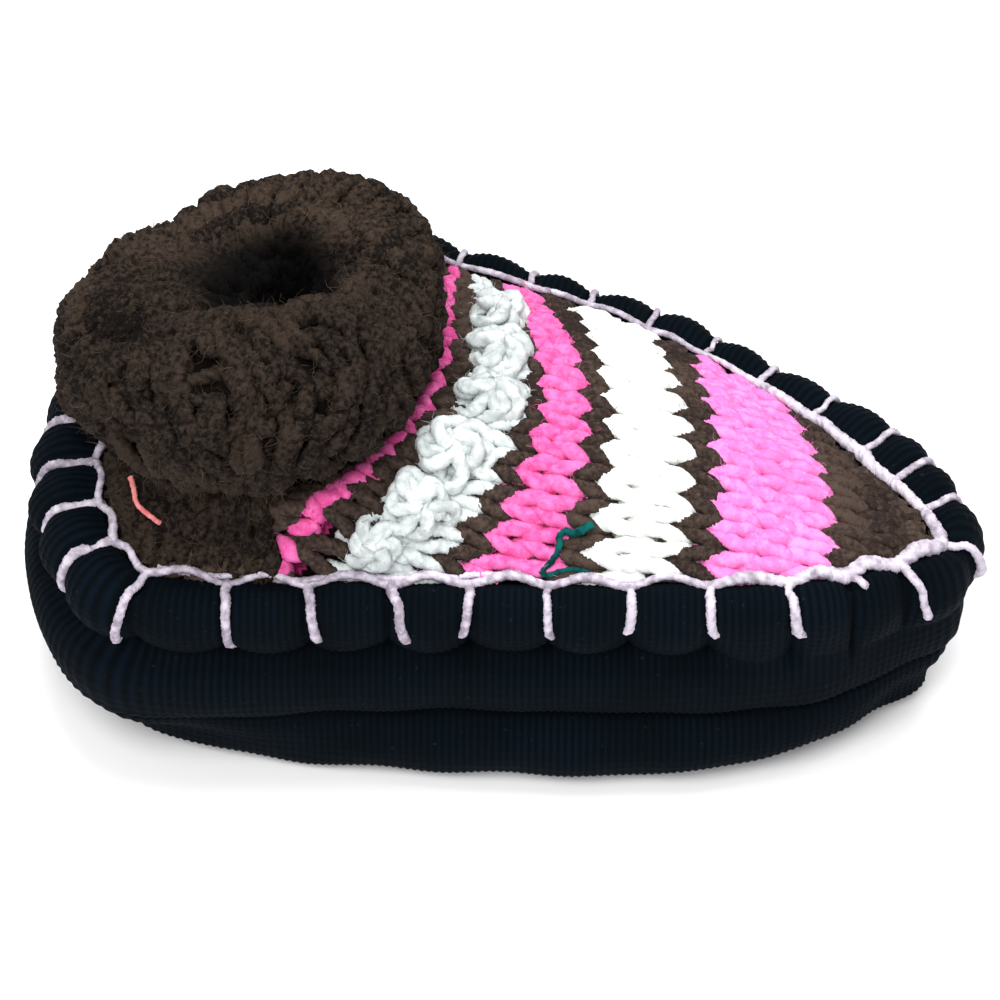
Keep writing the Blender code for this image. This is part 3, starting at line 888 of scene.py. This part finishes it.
def strands_piece(name, strands, finish, slot, radius, spacing, twist, lobes=0.12, sides=12,
                  seed=1, deep=None, uneven=0.05, swell=1.0):
    """A piece of yarn from strands, each a line of points, darkened with painted shade by the values of deep.
    """
    random = np.random.default_rng(seed)
    points = np.concatenate(strands)
    counts = [len(strand) for strand in strands]
    first = np.arange(len(points) - 1)
    edges = np.column_stack([first, first + 1])[~np.isin(first + 1, np.cumsum(counts))]
    mesh = bpy.data.meshes.new(name)
    mesh.from_pydata(points.tolist(), edges.tolist(), [])
    tone = 0.35 + 0.3 * np.repeat(random.uniform(0.0, 1.0, len(strands)), counts)
    tone += jitter(len(points), seed + 9, 0.30, 30)
    thick = (1.0 + jitter(len(points), seed + 7, uneven, 8)) * swell
    deep = np.zeros(len(points)) if deep is None else np.concatenate(deep)
    # No hairs grow where the painted shade is dark
    bare = smooth(0.30, 0.75, deep)
    for key, value in (("tone", tone), ("thick", thick), ("deep", deep), ("bare", bare)):
        mesh.attributes.new(key, "FLOAT", "POINT").data.foreach_set("value", value.astype(np.float32))
    piece = add_object(name, mesh)
    grow(piece, spun_yarn, {
        "Radius": radius, "Spacing": spacing, "Twist": twist,
        "Lobes": lobes, "Sides": sides, "Material": finish,
    })
    return wear(piece, finish, slot)


# %% [markdown]
# ## Finishes for the yarns
#
# All the yarns are matt and soft, and lit fibres at their edges make a pale sheen. The white and pink ones
# are smooth plied wool. The brown one is a tweed: fibres of dark and middle brown are spun together, with a
# few pale hairs. The cuff and the heel are darker and hairier, as mohair is, and painted shade darkens the
# cuff's loops further toward its mouth and on its near side.

# %% Make the yarn finishes
def yarn_finish(name, dark, light, fleck, flecks=0.3, scale=900.0, glow=0.1):
    """Wool yarn: two shades wandering along the fibres, a few flecks of a third, fine fibre relief and
    painted shade.
    """
    made, tree, shader = finish_material(
        name, Roughness=0.85, Specular_IOR_Level=0.1,
        Sheen_Weight=glow, Sheen_Roughness=0.4, Sheen_Tint=srgb(light),
    )
    place = put(tree, "ShaderNodeTexCoord").outputs["Object"]
    tone = put(tree, "ShaderNodeAttribute", attribute_name="tone").outputs["Fac"]
    deep = put(tree, "ShaderNodeAttribute", attribute_name="deep").outputs["Fac"]
    cloud = put(tree, NOISE, {"Vector": place, "Scale": scale, "Detail": 3.0})
    fibre = put(tree, NOISE, {"Vector": place, "Scale": 4200.0, "Detail": 2.0})
    speck = put(tree, NOISE, {"Vector": place, "Scale": 2100.0, "Detail": 1.0})
    paler = put(tree, MATH, {0: cloud, 1: 0.12}, operation="SUBTRACT")
    blend = put(tree, MATH, {0: tone, 1: 0.25, 2: paler}, operation="MULTIPLY_ADD")
    ramp = put(tree, "ShaderNodeValToRGB", {"Fac": blend})
    for stop, position, code in zip(ramp.color_ramp.elements, (0.36, 0.64), (dark, light)):
        stop.position, stop.color = position, srgb(code)
    some = put(tree, "ShaderNodeMapRange", {
        "Value": speck, "From Min": 0.66, "From Max": 0.74, "To Max": flecks,
    })
    colour = put(tree, MIX, {0: some, 6: ramp, 7: srgb(fleck)}, data_type="RGBA")
    # Painted shade: the colour goes toward near black as the deep value rises
    shaded = put(tree, MIX, {0: deep, 6: colour, 7: srgb("#020101")}, data_type="RGBA")
    bump = put(tree, "ShaderNodeBump", {"Strength": 0.35, "Distance": 0.00025, "Height": fibre})
    tree.links.new(shaded.outputs[2], shader.inputs["Base Color"])
    tree.links.new(bump.outputs["Normal"], shader.inputs["Normal"])
    return made


white_wool = yarn_finish("white_plied_wool", "#D8DCD8", "#ECEEEA", "#FFFFFF")
pale_wool = yarn_finish("pale_bobble_wool", "#B2B8B8", "#D4DADA", "#F0F2F2")
pink_wool = yarn_finish("pink_plied_wool", "#E878BC", "#F894D2", "#FFB8E6")
hot_wool = yarn_finish("deep_pink_plied_wool", "#D85094", "#EC74B4", "#FF98CC")
BROWN_CLOUD, BROWN_GLOW = 1500.0, 0.08
brown_tweed = yarn_finish("brown_tweed_wool", "#2A211E", "#493C35", "#7A6858", 0.20, BROWN_CLOUD, BROWN_GLOW)
dark_mohair = yarn_finish("dark_brown_mohair", "#0F0B09", "#3A2F27", "#5A4A3E", 0.30, BROWN_CLOUD, BROWN_GLOW)
edging_wool = yarn_finish("pale_lilac_edging_wool", "#948A98", "#CFC6D4", "#ECE6EE", glow=0.08)
print("finishes:", [made.name for made in bpy.data.materials if made.use_nodes])

# %% [markdown]
# ## The vamp
#
# The loops become yarn, one piece for each colour. The wall under them carries each stripe's colour too,
# painted a little darker as the shade in the holes between the loops, so that they look deep and not torn.

# %% Build the vamp
YARN_RADIUS, BOBBLE_RADIUS, PLY_TWIST = 0.00104, 0.00092, 900.0
strands_piece("vamp_brown_loops", vamp["brown"], brown_tweed, "upper", YARN_RADIUS, 0.00052, PLY_TWIST,
              sides=10, seed=11)
for name, yarn, finish, seed in (
    ("vamp_pink_loops", "pink", pink_wool, 12),
    ("vamp_deep_pink_loops", "hot", hot_wool, 13),
    ("vamp_white_loops", "white", white_wool, 14),
):
    strands_piece(name, vamp[yarn], finish, "upper", YARN_RADIUS, 0.00042, PLY_TWIST, seed=seed)
strands_piece("vamp_pale_bobbles", vamp["pale"], pale_wool, "upper", BOBBLE_RADIUS, 0.00050, 1000.0, seed=15)

# %% The felted wall under the loops
WALL_INNER, WALL_OUTER, STRIPES_FAR = 0.0027, 0.0016, 0.0220
inner, outer = face - face_normal * WALL_INNER, face - face_normal * WALL_OUTER
wall_rows = np.concatenate([inner, outer[:, ::-1]], axis=1)
flat = wall_rows.reshape(-1, 3)
charted = np.clip(flat[:, 1], CHART_NEAR, STRIPES_FAR)
lines = np.stack([np.polyval(curve, charted) for _, curve in line_curves], axis=0)
passed = (flat[:, 0][None, :] < lines).sum(axis=0)
shade_of = {"brown": 0.0, "pink": 1.0, "hot": 2.0, "white": 3.0, "pale": 3.0}
stripe = np.array([shade_of[yarn] for yarn in ["brown"] + [yarn_of(n) for n, _ in line_curves]])[passed]
wall_quads = grid_quads(len(turns), wall_rows.shape[1], True, True)
wall = mesh_from("upper_felted_wall", wall_rows, wall_quads, {"stripe": stripe})

# Felted wool, dull, in one flat colour for each stripe, painted darker than its yarn as the shade in the
# holes between the loops
backing, tree, shader = finish_material("stripe_wall_painted_shade", Roughness=0.95, Specular_IOR_Level=0.05)
given = put(tree, "ShaderNodeAttribute", attribute_name="stripe").outputs["Fac"]
part = put(tree, MATH, {0: given, 1: 3.0}, operation="DIVIDE")
ramp = put(tree, "ShaderNodeValToRGB", {"Fac": part})
stops = ramp.color_ramp.elements
ramp.color_ramp.interpolation = "CONSTANT"
stops[0].color = srgb("#120C0A")
stops[1].position, stops[1].color = 0.83, srgb("#A8A8A6")
for position, code in ((0.17, "#A03068"), (0.50, "#86184E")):
    stops.new(position).color = srgb(code)
tree.links.new(ramp.outputs["Color"], shader.inputs["Base Color"])
wear(wall, backing, "upper", "upper")

# %% [markdown]
# ## The heel quarter
#
# Round the heel and on the inner side behind the instep, the brown knitting runs the other way: its courses
# follow the seam and climb to the cuff. The loops are laid by share of the seam and height on the surface.

# %% Build the quarter
def lumps(angle, turn):
    """Slow swells of the slack wool, from -1 to 1, round the throat and round the roll."""
    large = np.sin(5.0 * angle + 2.0 * turn + 1.0) * np.sin(3.0 * turn - 2.0 * angle)
    return 0.6 * large + 0.4 * np.sin(9.0 * angle - 4.0 * turn)


def on_upper(share, height, centre):
    """Points over the upper's face at shares and heights, moved along its normal."""
    tiny = 1e-3
    spot = upper_face(share, height)
    normal = np.cross(upper_face(share + tiny, height) - upper_face(share - tiny, height),
                      upper_face(share, height + tiny) - upper_face(share, height - tiny))
    normal /= np.maximum(np.linalg.norm(normal, axis=1, keepdims=True), 1e-12)
    # Outward is up, or sideways where the face is steep
    normal *= np.sign(normal[:, 2:] + 0.2)
    return spot + normal * np.asarray(centre)[:, None]


QUARTER_WALE, QUARTER_COURSE, QUARTER_SHADE = 0.0046, 0.0042, 0.26
QUARTER_LIFT, QUARTER_DEPTH, QUARTER_SWELL = 0.0011, 0.0009, 0.0006
quarter = []
quarter_from, quarter_to = float(stitch_share(11.0)), float(stitch_share(21.7))
wales = round((quarter_to - quarter_from) * seam_run[-1] / QUARTER_WALE)
for course in range(-1, 6):
    across, along, depth = loop_row(0.0, float(wales))
    count = len(across)
    here = quarter_from + across / wales * (quarter_to - quarter_from)
    tall = np.linalg.norm(upper_face(here, np.ones(count)) - upper_face(here, np.zeros(count)), axis=1)
    up = (course + 0.5 + along + jitter(count, 300 + course, 0.05)) * QUARTER_COURSE / tall
    centre = YARN_REST + QUARTER_LIFT * smooth(0.1, 0.4, up) + QUARTER_DEPTH * depth
    centre = centre + QUARTER_SWELL * lumps(12.0 * here, 3.0 * up)
    path = on_upper(here, np.clip(up, 0.0, 1.9), centre)
    quarter += [path[stretch] for stretch in runs((up > 0.0) & (up < 1.2))]
strands_piece("quarter_brown_loops", quarter, dark_mohair, "upper", 0.00115, 0.00055, PLY_TWIST,
              seed=21, deep=[np.full(len(strand), QUARTER_SHADE) for strand in quarter])

# %% [markdown]
# ## The folded cuff
#
# The cuff is a long ribbed tube, folded outward on itself into a fat roll that sits slack round the throat.
# Under its yarn lies a ribbed wall, painted near black as shade, swept round the throat. Rib loops climb over
# the roll and into the mouth, where painted shade darkens them.

# %% The cuff's form and wall
CUFF_COURSES, CUFF_FROM, CUFF_TO, ROLL_SAG = 15, -66.0, 206.0, 0.22
NEAR_SHIFT, MOUTH_SQUEEZE, MOUTH_SHIFT = 0.0018, np.array((-0.26, 0.05)), np.array((0.0020, -0.0013))


def power(value, amount):
    """A power that keeps the value's sign."""
    return np.sign(value) * np.abs(value) ** amount


def roll_surface(here, degrees, proud):
    """Points on the slack roll, at angles round the throat and degrees round its section."""
    turn = np.radians(degrees)
    wide, tall = roll_size(here)
    near = 0.5 - 0.5 * np.sin(here)
    # Toward the mouth the far side is flat on top and then drops, and the near side sags and falls away
    closing, rising = np.cos(turn) < 0.0, np.sin(turn) > 0.0
    crest = CUFF_CREST + NEAR_SHIFT * near
    reach = np.where(closing, crest - CUFF_NECK + CUFF_LIFT, wide - NEAR_SHIFT * near) + proud
    square = np.where(closing & rising, mix(0.62, 1.55, near), 1.0)
    radius = crest + reach * power(np.cos(turn), square)
    tall_here = np.where(rising, tall * (1.0 - ROLL_SAG * near), tall) + proud
    height = CUFF_LIFT + tall + tall_here * power(np.sin(turn), square)
    path, axis = on_throat(radius, here, height), on_throat(0.0, 0.0, height)
    # The mouth is an oval, narrow along the foot and drawn toward the toe and the inner side
    funnel = smooth(95.0, 180.0, degrees)[..., None]
    oval = (path - axis)[..., :2] * (1.0 + funnel * MOUTH_SQUEEZE)
    path[..., :2] = axis[..., :2] + oval + funnel * MOUTH_SHIFT
    return path


RIB_STEPS, ROLL_ROWS, RIB_SWELL = 8, 24, 0.0004
WALL_BACK, WALL_FRONT = 0.0050, 0.0032
angle = np.arange(KNIT_RIBS * RIB_STEPS)[:, None] / (KNIT_RIBS * RIB_STEPS) * 2.0 * np.pi


def cuff_layer(inset):
    """One face of the wall under the yarn, from the hem over the roll to the throat."""
    degrees = np.linspace(CUFF_FROM - 4.0, CUFF_TO, ROLL_ROWS)[None, :]
    roll = roll_surface(angle, degrees, RIB_SWELL * np.cos(angle * KNIT_RIBS) - inset)
    return np.concatenate([roll, on_throat(CUFF_THROAT - WALL_FRONT + inset, angle, 0.0)], axis=1)


cuff_grid = np.concatenate([cuff_layer(WALL_BACK), cuff_layer(WALL_FRONT)[:, ::-1]], axis=1)
cuff_wall = mesh_from("rib_cuff_wall", cuff_grid, grid_quads(len(angle), cuff_grid.shape[1], True, True))
# Brown wool painted near black as the shade in the gaps between the loops, so that they look deep
brown_wall = finish_material(
    "cuff_wall_painted_shade", Base_Color=srgb("#0E0A08"), Roughness=0.95, Specular_IOR_Level=0.05,
)[0]
wear(cuff_wall, brown_wall, "rib_cuff", "rib_cuff")

# %% The cuff's rib loops
CUFF_LOOP_DEPTH, CUFF_REST = 0.00100, 0.0020
cuff_strands, cuff_painted_shade = [], []
for course in range(CUFF_COURSES):
    across, along, depth = loop_row(0.0, float(KNIT_RIBS), lean=0.15, reach=1.0, squeeze=0.10)
    count = len(across)
    here = across / KNIT_RIBS * 2.0 * np.pi
    # The slack ribs wander, most of all on the near side
    loose = smooth(0.5, -0.6, np.sin(here))
    here = here + jitter(count, 500 + course, 0.012) * (1.0 + 2.5 * loose)
    wander = jitter(count, 520 + course, 0.20) * (1.0 + 1.3 * loose)
    level = (course + 0.5 - along + wander) / CUFF_COURSES
    slow, quick = np.sin(5.0 * level + 2.0 * here), np.sin(11.0 * level - 3.0 * here)
    here += 0.10 * slow + (0.05 + 0.07 * loose) * quick
    level += 0.030 * loose * np.sin(9.0 * here + 7.0 * level)
    degrees = CUFF_FROM + level * (CUFF_TO - CUFF_FROM)
    swells = (0.0008 + 0.0004 * loose) * lumps(here, np.radians(degrees))
    ribs = 0.0006 * (1.0 - loose) * np.cos(2.0 * np.pi * across)
    cuff_strands.append(roll_surface(here, degrees, CUFF_LOOP_DEPTH * depth - CUFF_REST + swells - ribs))
    # Painted shade: the loops darken toward black deep in the mouth, and a little over the near side
    cuff_painted_shade.append(np.maximum(smooth(108.0, 145.0, degrees) * 0.99, 0.24 * loose))
strands_piece("rib_cuff_loops", cuff_strands, dark_mohair, "rib_cuff", 0.00108, 0.00075, 1100.0,
              sides=9, seed=31, deep=cuff_painted_shade, uneven=0.11)

# %% [markdown]
# ## The blanket stitch
#
# A pale wool edging joins the upper to the band. A yarn runs along the seam, and at each stitch a leg goes
# out over the roll and down, and draws it in. The legs lean a little this way and that, because they were
# sewn by hand.

# %% Places on the band, and the legs
band_normal = grid_normals(band_surface, True, True)
if band_normal[:, 5 * ROUND, 2].mean() < 0.0:
    band_normal = -band_normal


def on_band(share, around, proud):
    """Points over the band's surface at shares of the seam and places round its section."""
    ring, column = np.mod(share, 1.0) * rings, np.asarray(around) * ROUND
    r, c = np.floor(ring).astype(int), np.floor(column).astype(int)
    u, v = (ring - r)[:, None], (column - c)[:, None]

    def pick(grid):
        at = lambda a, b: grid[a % rings, b % grid.shape[1]]
        return mix(mix(at(r, c), at(r + 1, c), u), mix(at(r, c + 1), at(r + 1, c + 1), u), v)

    return pick(band_surface) + pick(band_normal) * np.asarray(proud)[:, None]


LEGS = (
    # stitch, lean along the seam in millimetres, how far down the section it reaches
    (0, 0.6, 7.6), (1, 0.3, 7.5), (2, -0.4, 7.6), (3, 0.5, 7.4), (4, 0.2, 7.5), (5, -0.3, 7.6),
    (6, 0.4, 7.4), (7, -0.2, 7.5), (8, 0.3, 7.6), (9, 0.4, 7.5), (10, -0.4, 7.4), (11, 0.5, 7.6),
    (12, 0.2, 7.5), (13, -0.5, 7.6), (14, 0.3, 7.5), (15, 0.6, 7.4), (16, -0.3, 7.6), (17, 0.3, 7.5),
    (18, 0.2, 7.3), (19, -0.4, 7.9), (20, -1.0, 8.2), (21, 0.7, 8.0), (22, 1.2, 7.4), (23, 2.4, 7.3),
    (24, -0.9, 7.2), (25, 0.6, 7.2), (26, -0.25, 7.0), (27, 0.7, 7.0), (28, 0.7, 7.0), (29, 1.7, 4.4),
    (30, 2.5, 7.6),
)
LEG_START, LEG_POINTS, RUN_POINTS = 2.2, 18, 16

# %% Sew the legs and the running yarn
edging = []
t = np.linspace(0.0, 1.0, LEG_POINTS)
# A leg lies on the roll, and dips into it at both ends
proud = 0.00035 + 0.00030 * np.sin(np.pi * t)
proud = proud - 0.0012 * smooth(0.90, 1.0, t) - 0.0010 * (1.0 - smooth(0.0, 0.1, t))
for number, lean, reach in LEGS:
    share = stitch_share(number) + lean / 1000.0 / seam_run[-1] * t
    edging.append(on_band(share, mix(LEG_START, reach, t), proud))
# The yarn is pulled thinner on the far side, and lies doubled at the toe
leg_swell = np.repeat([0.78 if 1 <= number <= 15 else 1.0 for number, _, _ in LEGS], LEG_POINTS)
count = STITCHES * RUN_POINTS + 1
t = np.arange(count) / RUN_POINTS
edge_point, edge_out, _ = seam_at(stitch_share(t))
running = edge_point.copy()
dip = np.cos(2.0 * np.pi * t)
running[:, :2] += edge_out * (0.00035 + jitter(count, 640, 0.00018, 5) + 0.00030 * dip)[:, None]
running[:, 2] += 0.00060 - 0.00055 * dip + jitter(count, 650, 0.00012, 7)
swell = 1.0 - 0.28 * smooth(0.0, 0.6, edge_out[:, 1]) + 0.8 * toeward(running) ** 2
EDGING_TWIST, EDGING_LOBES = 1600.0, 0.08
strands_piece("blanket_stitch_legs", edging, edging_wool, "padded_band", 0.00060, 0.00050, EDGING_TWIST,
              EDGING_LOBES, sides=10, seed=41, uneven=0.14, swell=leg_swell)
strands_piece("blanket_stitch_running_yarn", [running], edging_wool, "padded_band", 0.00052, 0.00045,
              EDGING_TWIST, EDGING_LOBES, seed=42, uneven=0.16, swell=swell)

# %% [markdown]
# ## Loose ends
#
# Hand work leaves ends: a salmon thread hangs at the heel, a teal end of yarn is tied in by the white
# stripe, and a pale strand of the edging lies loose over the knitting on the inner side. They are thin, so
# they stay plain strands.

# %% Lay the loose ends
def laid_strand(plan, proud):
    """A smooth path over a few plan points in millimetres, proud of the upper's face."""
    plan = np.array(plan) / 1000.0
    height, normal, _ = drop_on_face(plan)
    return open_spline((np.column_stack([plan, height]) + normal * proud)[None], 8)[0]


salmon_wool = yarn_finish("salmon_thread", "#E07478", "#F49A98", "#FFC0BC", glow=0.25)
teal_wool = yarn_finish("teal_yarn_end", "#002E30", "#0A5C58", "#2A807A", glow=0.25)
heel_thread = laid_strand((
    (-43.4, -12.6), (-43.0, -14.2), (-42.7, -16.0), (-41.8, -17.3), (-40.2, -18.8),
), 0.0027)
strands_piece("salmon_heel_thread", [heel_thread], salmon_wool, "upper", 0.00034, 0.00040, 2000.0,
              sides=8, seed=43)
teal_end = laid_strand((
    (11.0, -20.1), (9.9, -20.5), (8.8, -20.9), (7.8, -20.7), (7.0, -21.0), (7.0, -21.7), (6.6, -22.5),
    (5.8, -23.2), (4.9, -23.8), (5.4, -24.1), (6.8, -23.9), (8.2, -23.7), (9.6, -23.8), (10.6, -24.0),
), 0.0010)
fray = np.linspace(1.5, 0.8, len(teal_end))
strands_piece("teal_yarn_end", [teal_end], teal_wool, "upper", 0.00036, 0.00040, EDGING_TWIST,
              sides=8, seed=44, swell=fray)
LOOSE_POINTS = 70
loose_share = stitch_share(np.linspace(20.1, 24.4, LOOSE_POINTS))
loose_height = 0.07 + jitter(LOOSE_POINTS, 661, 0.02, 5)
loose_proud = 0.0009 + jitter(LOOSE_POINTS, 660, 0.0003, 6)
loose_pale = on_upper(loose_share, loose_height, loose_proud)
strands_piece("loose_edging_strand", [loose_pale], edging_wool, "upper", 0.00044, 0.00045, EDGING_TWIST,
              sides=8, seed=45)

# %% [markdown]
# ## Fuzz
#
# Wool is hairy, the brown most of all. Another node tree scatters short bent hairs over the brown, pink and
# pale yarns, leaning every way. Each hair is only a few faces, because there are thousands of them.

# %% The fuzz tree
def fuzz_tree():
    """Short tapered hairs on the faces of a mesh, fewer where it is bare."""
    tree, given, result = tree_with("wool_fuzz", {
        "Density": "Float", "Length": "Float", "Radius": "Float", "Seed": "Int", "Material": "Material",
    })
    length, seed = given["Length"], given["Seed"]
    bare = put(tree, "GeometryNodeInputNamedAttribute", {"Name": "bare"}, data_type="FLOAT")
    clothed = put(tree, MATH, {0: 1.0, 1: bare}, operation="SUBTRACT")
    density = put(tree, MATH, {0: given["Density"], 1: clothed}, operation="MULTIPLY")
    scatter = put(tree, "GeometryNodeDistributePointsOnFaces", {
        "Mesh": given["Geometry"], "Density": density, "Seed": seed,
    })
    # The first hair is a metre long, bent to one side with a slight wave, and thinner at its tip
    line = put(tree, "GeometryNodeCurvePrimitiveLine")
    short = put(tree, "GeometryNodeResampleCurve", {"Curve": line, "Count": 3})
    part = put(tree, "GeometryNodeSplineParameter").outputs["Factor"]
    square = put(tree, MATH, {0: part, 1: 2.0}, operation="POWER")
    bend = put(tree, MATH, {0: square, 1: 0.55}, operation="MULTIPLY")
    angle = put(tree, MATH, {0: part, 1: 4.0}, operation="MULTIPLY")
    wave = put(tree, MATH, {0: angle}, operation="SINE")
    wave = put(tree, MATH, {0: wave, 1: 0.18}, operation="MULTIPLY")
    side = put(tree, "ShaderNodeCombineXYZ", {"X": bend, "Y": wave})
    bent = put(tree, "GeometryNodeSetPosition", {"Geometry": short, "Offset": side})
    thin = put(tree, MATH, {0: given["Radius"], 1: length}, operation="DIVIDE")
    ring = put(tree, "GeometryNodeCurvePrimitiveCircle", {"Resolution": 3, "Radius": thin})
    loss = put(tree, MATH, {0: part, 1: 0.6}, operation="MULTIPLY")
    taper = put(tree, MATH, {0: 1.0, 1: loss}, operation="SUBTRACT")
    hair = put(tree, "GeometryNodeCurveToMesh", {"Curve": bent, "Profile Curve": ring, "Scale": taper})
    # Its copies get their true length, and each its own lean
    lean = put(tree, "FunctionNodeRandomValue", {
        0: (-1.4, -1.4, 0.0), 1: (1.4, 1.4, 6.28), "Seed": seed,
    }, data_type="FLOAT_VECTOR")
    spin = put(tree, "FunctionNodeEulerToRotation", {"Euler": lean})
    turned = put(tree, "FunctionNodeRotateRotation", {
        "Rotation": scatter.outputs["Rotation"], "Rotate By": spin,
    }, rotation_space="LOCAL")
    size = put(tree, "FunctionNodeRandomValue", {2: 0.4, 3: 1.0, "Seed": 5}, data_type="FLOAT")
    scale = put(tree, MATH, {0: size, 1: length}, operation="MULTIPLY")
    hairs = put(tree, "GeometryNodeInstanceOnPoints", {
        "Points": scatter, "Instance": hair, "Rotation": turned, "Scale": scale,
    })
    return end_tree(tree, given, result, hairs)


wool_fuzz = fuzz_tree()
print("fuzz tree, nodes:", len(wool_fuzz.nodes))
hair_wool = yarn_finish("brown_tweed_hairs", "#241C17", "#685849", "#86745F", glow=BROWN_GLOW)
HAIR_RADIUS = 0.00004

# %% Grow the hairs
for name, source, finish, slot, count, length, seed in (
    # piece, what it grows on, finish, slot, hairs, their length in metres, seed
    ("rib_cuff_fuzz", "rib_cuff_loops", hair_wool, "rib_cuff", 11500, 0.0021, 3),
    ("vamp_fuzz", "vamp_brown_loops", hair_wool, "upper", 3200, 0.0018, 4),
    ("quarter_fuzz", "quarter_brown_loops", hair_wool, "upper", 2600, 0.0021, 5),
    ("pink_fuzz", "vamp_pink_loops", pink_wool, "upper", 1500, 0.0012, 6),
    ("deep_pink_fuzz", "vamp_deep_pink_loops", hot_wool, "upper", 1500, 0.0012, 7),
    ("bobble_fuzz", "vamp_pale_bobbles", pale_wool, "upper", 1500, 0.0014, 8),
):
    skin = bpy.data.objects[source].data
    area = sum(polygon.area for polygon in skin.polygons)
    piece = grow(add_object(name, skin.copy()), wool_fuzz, {
        "Density": count / area, "Length": length, "Radius": HAIR_RADIUS, "Seed": seed, "Material": finish,
    })
    wear(piece, finish, slot)
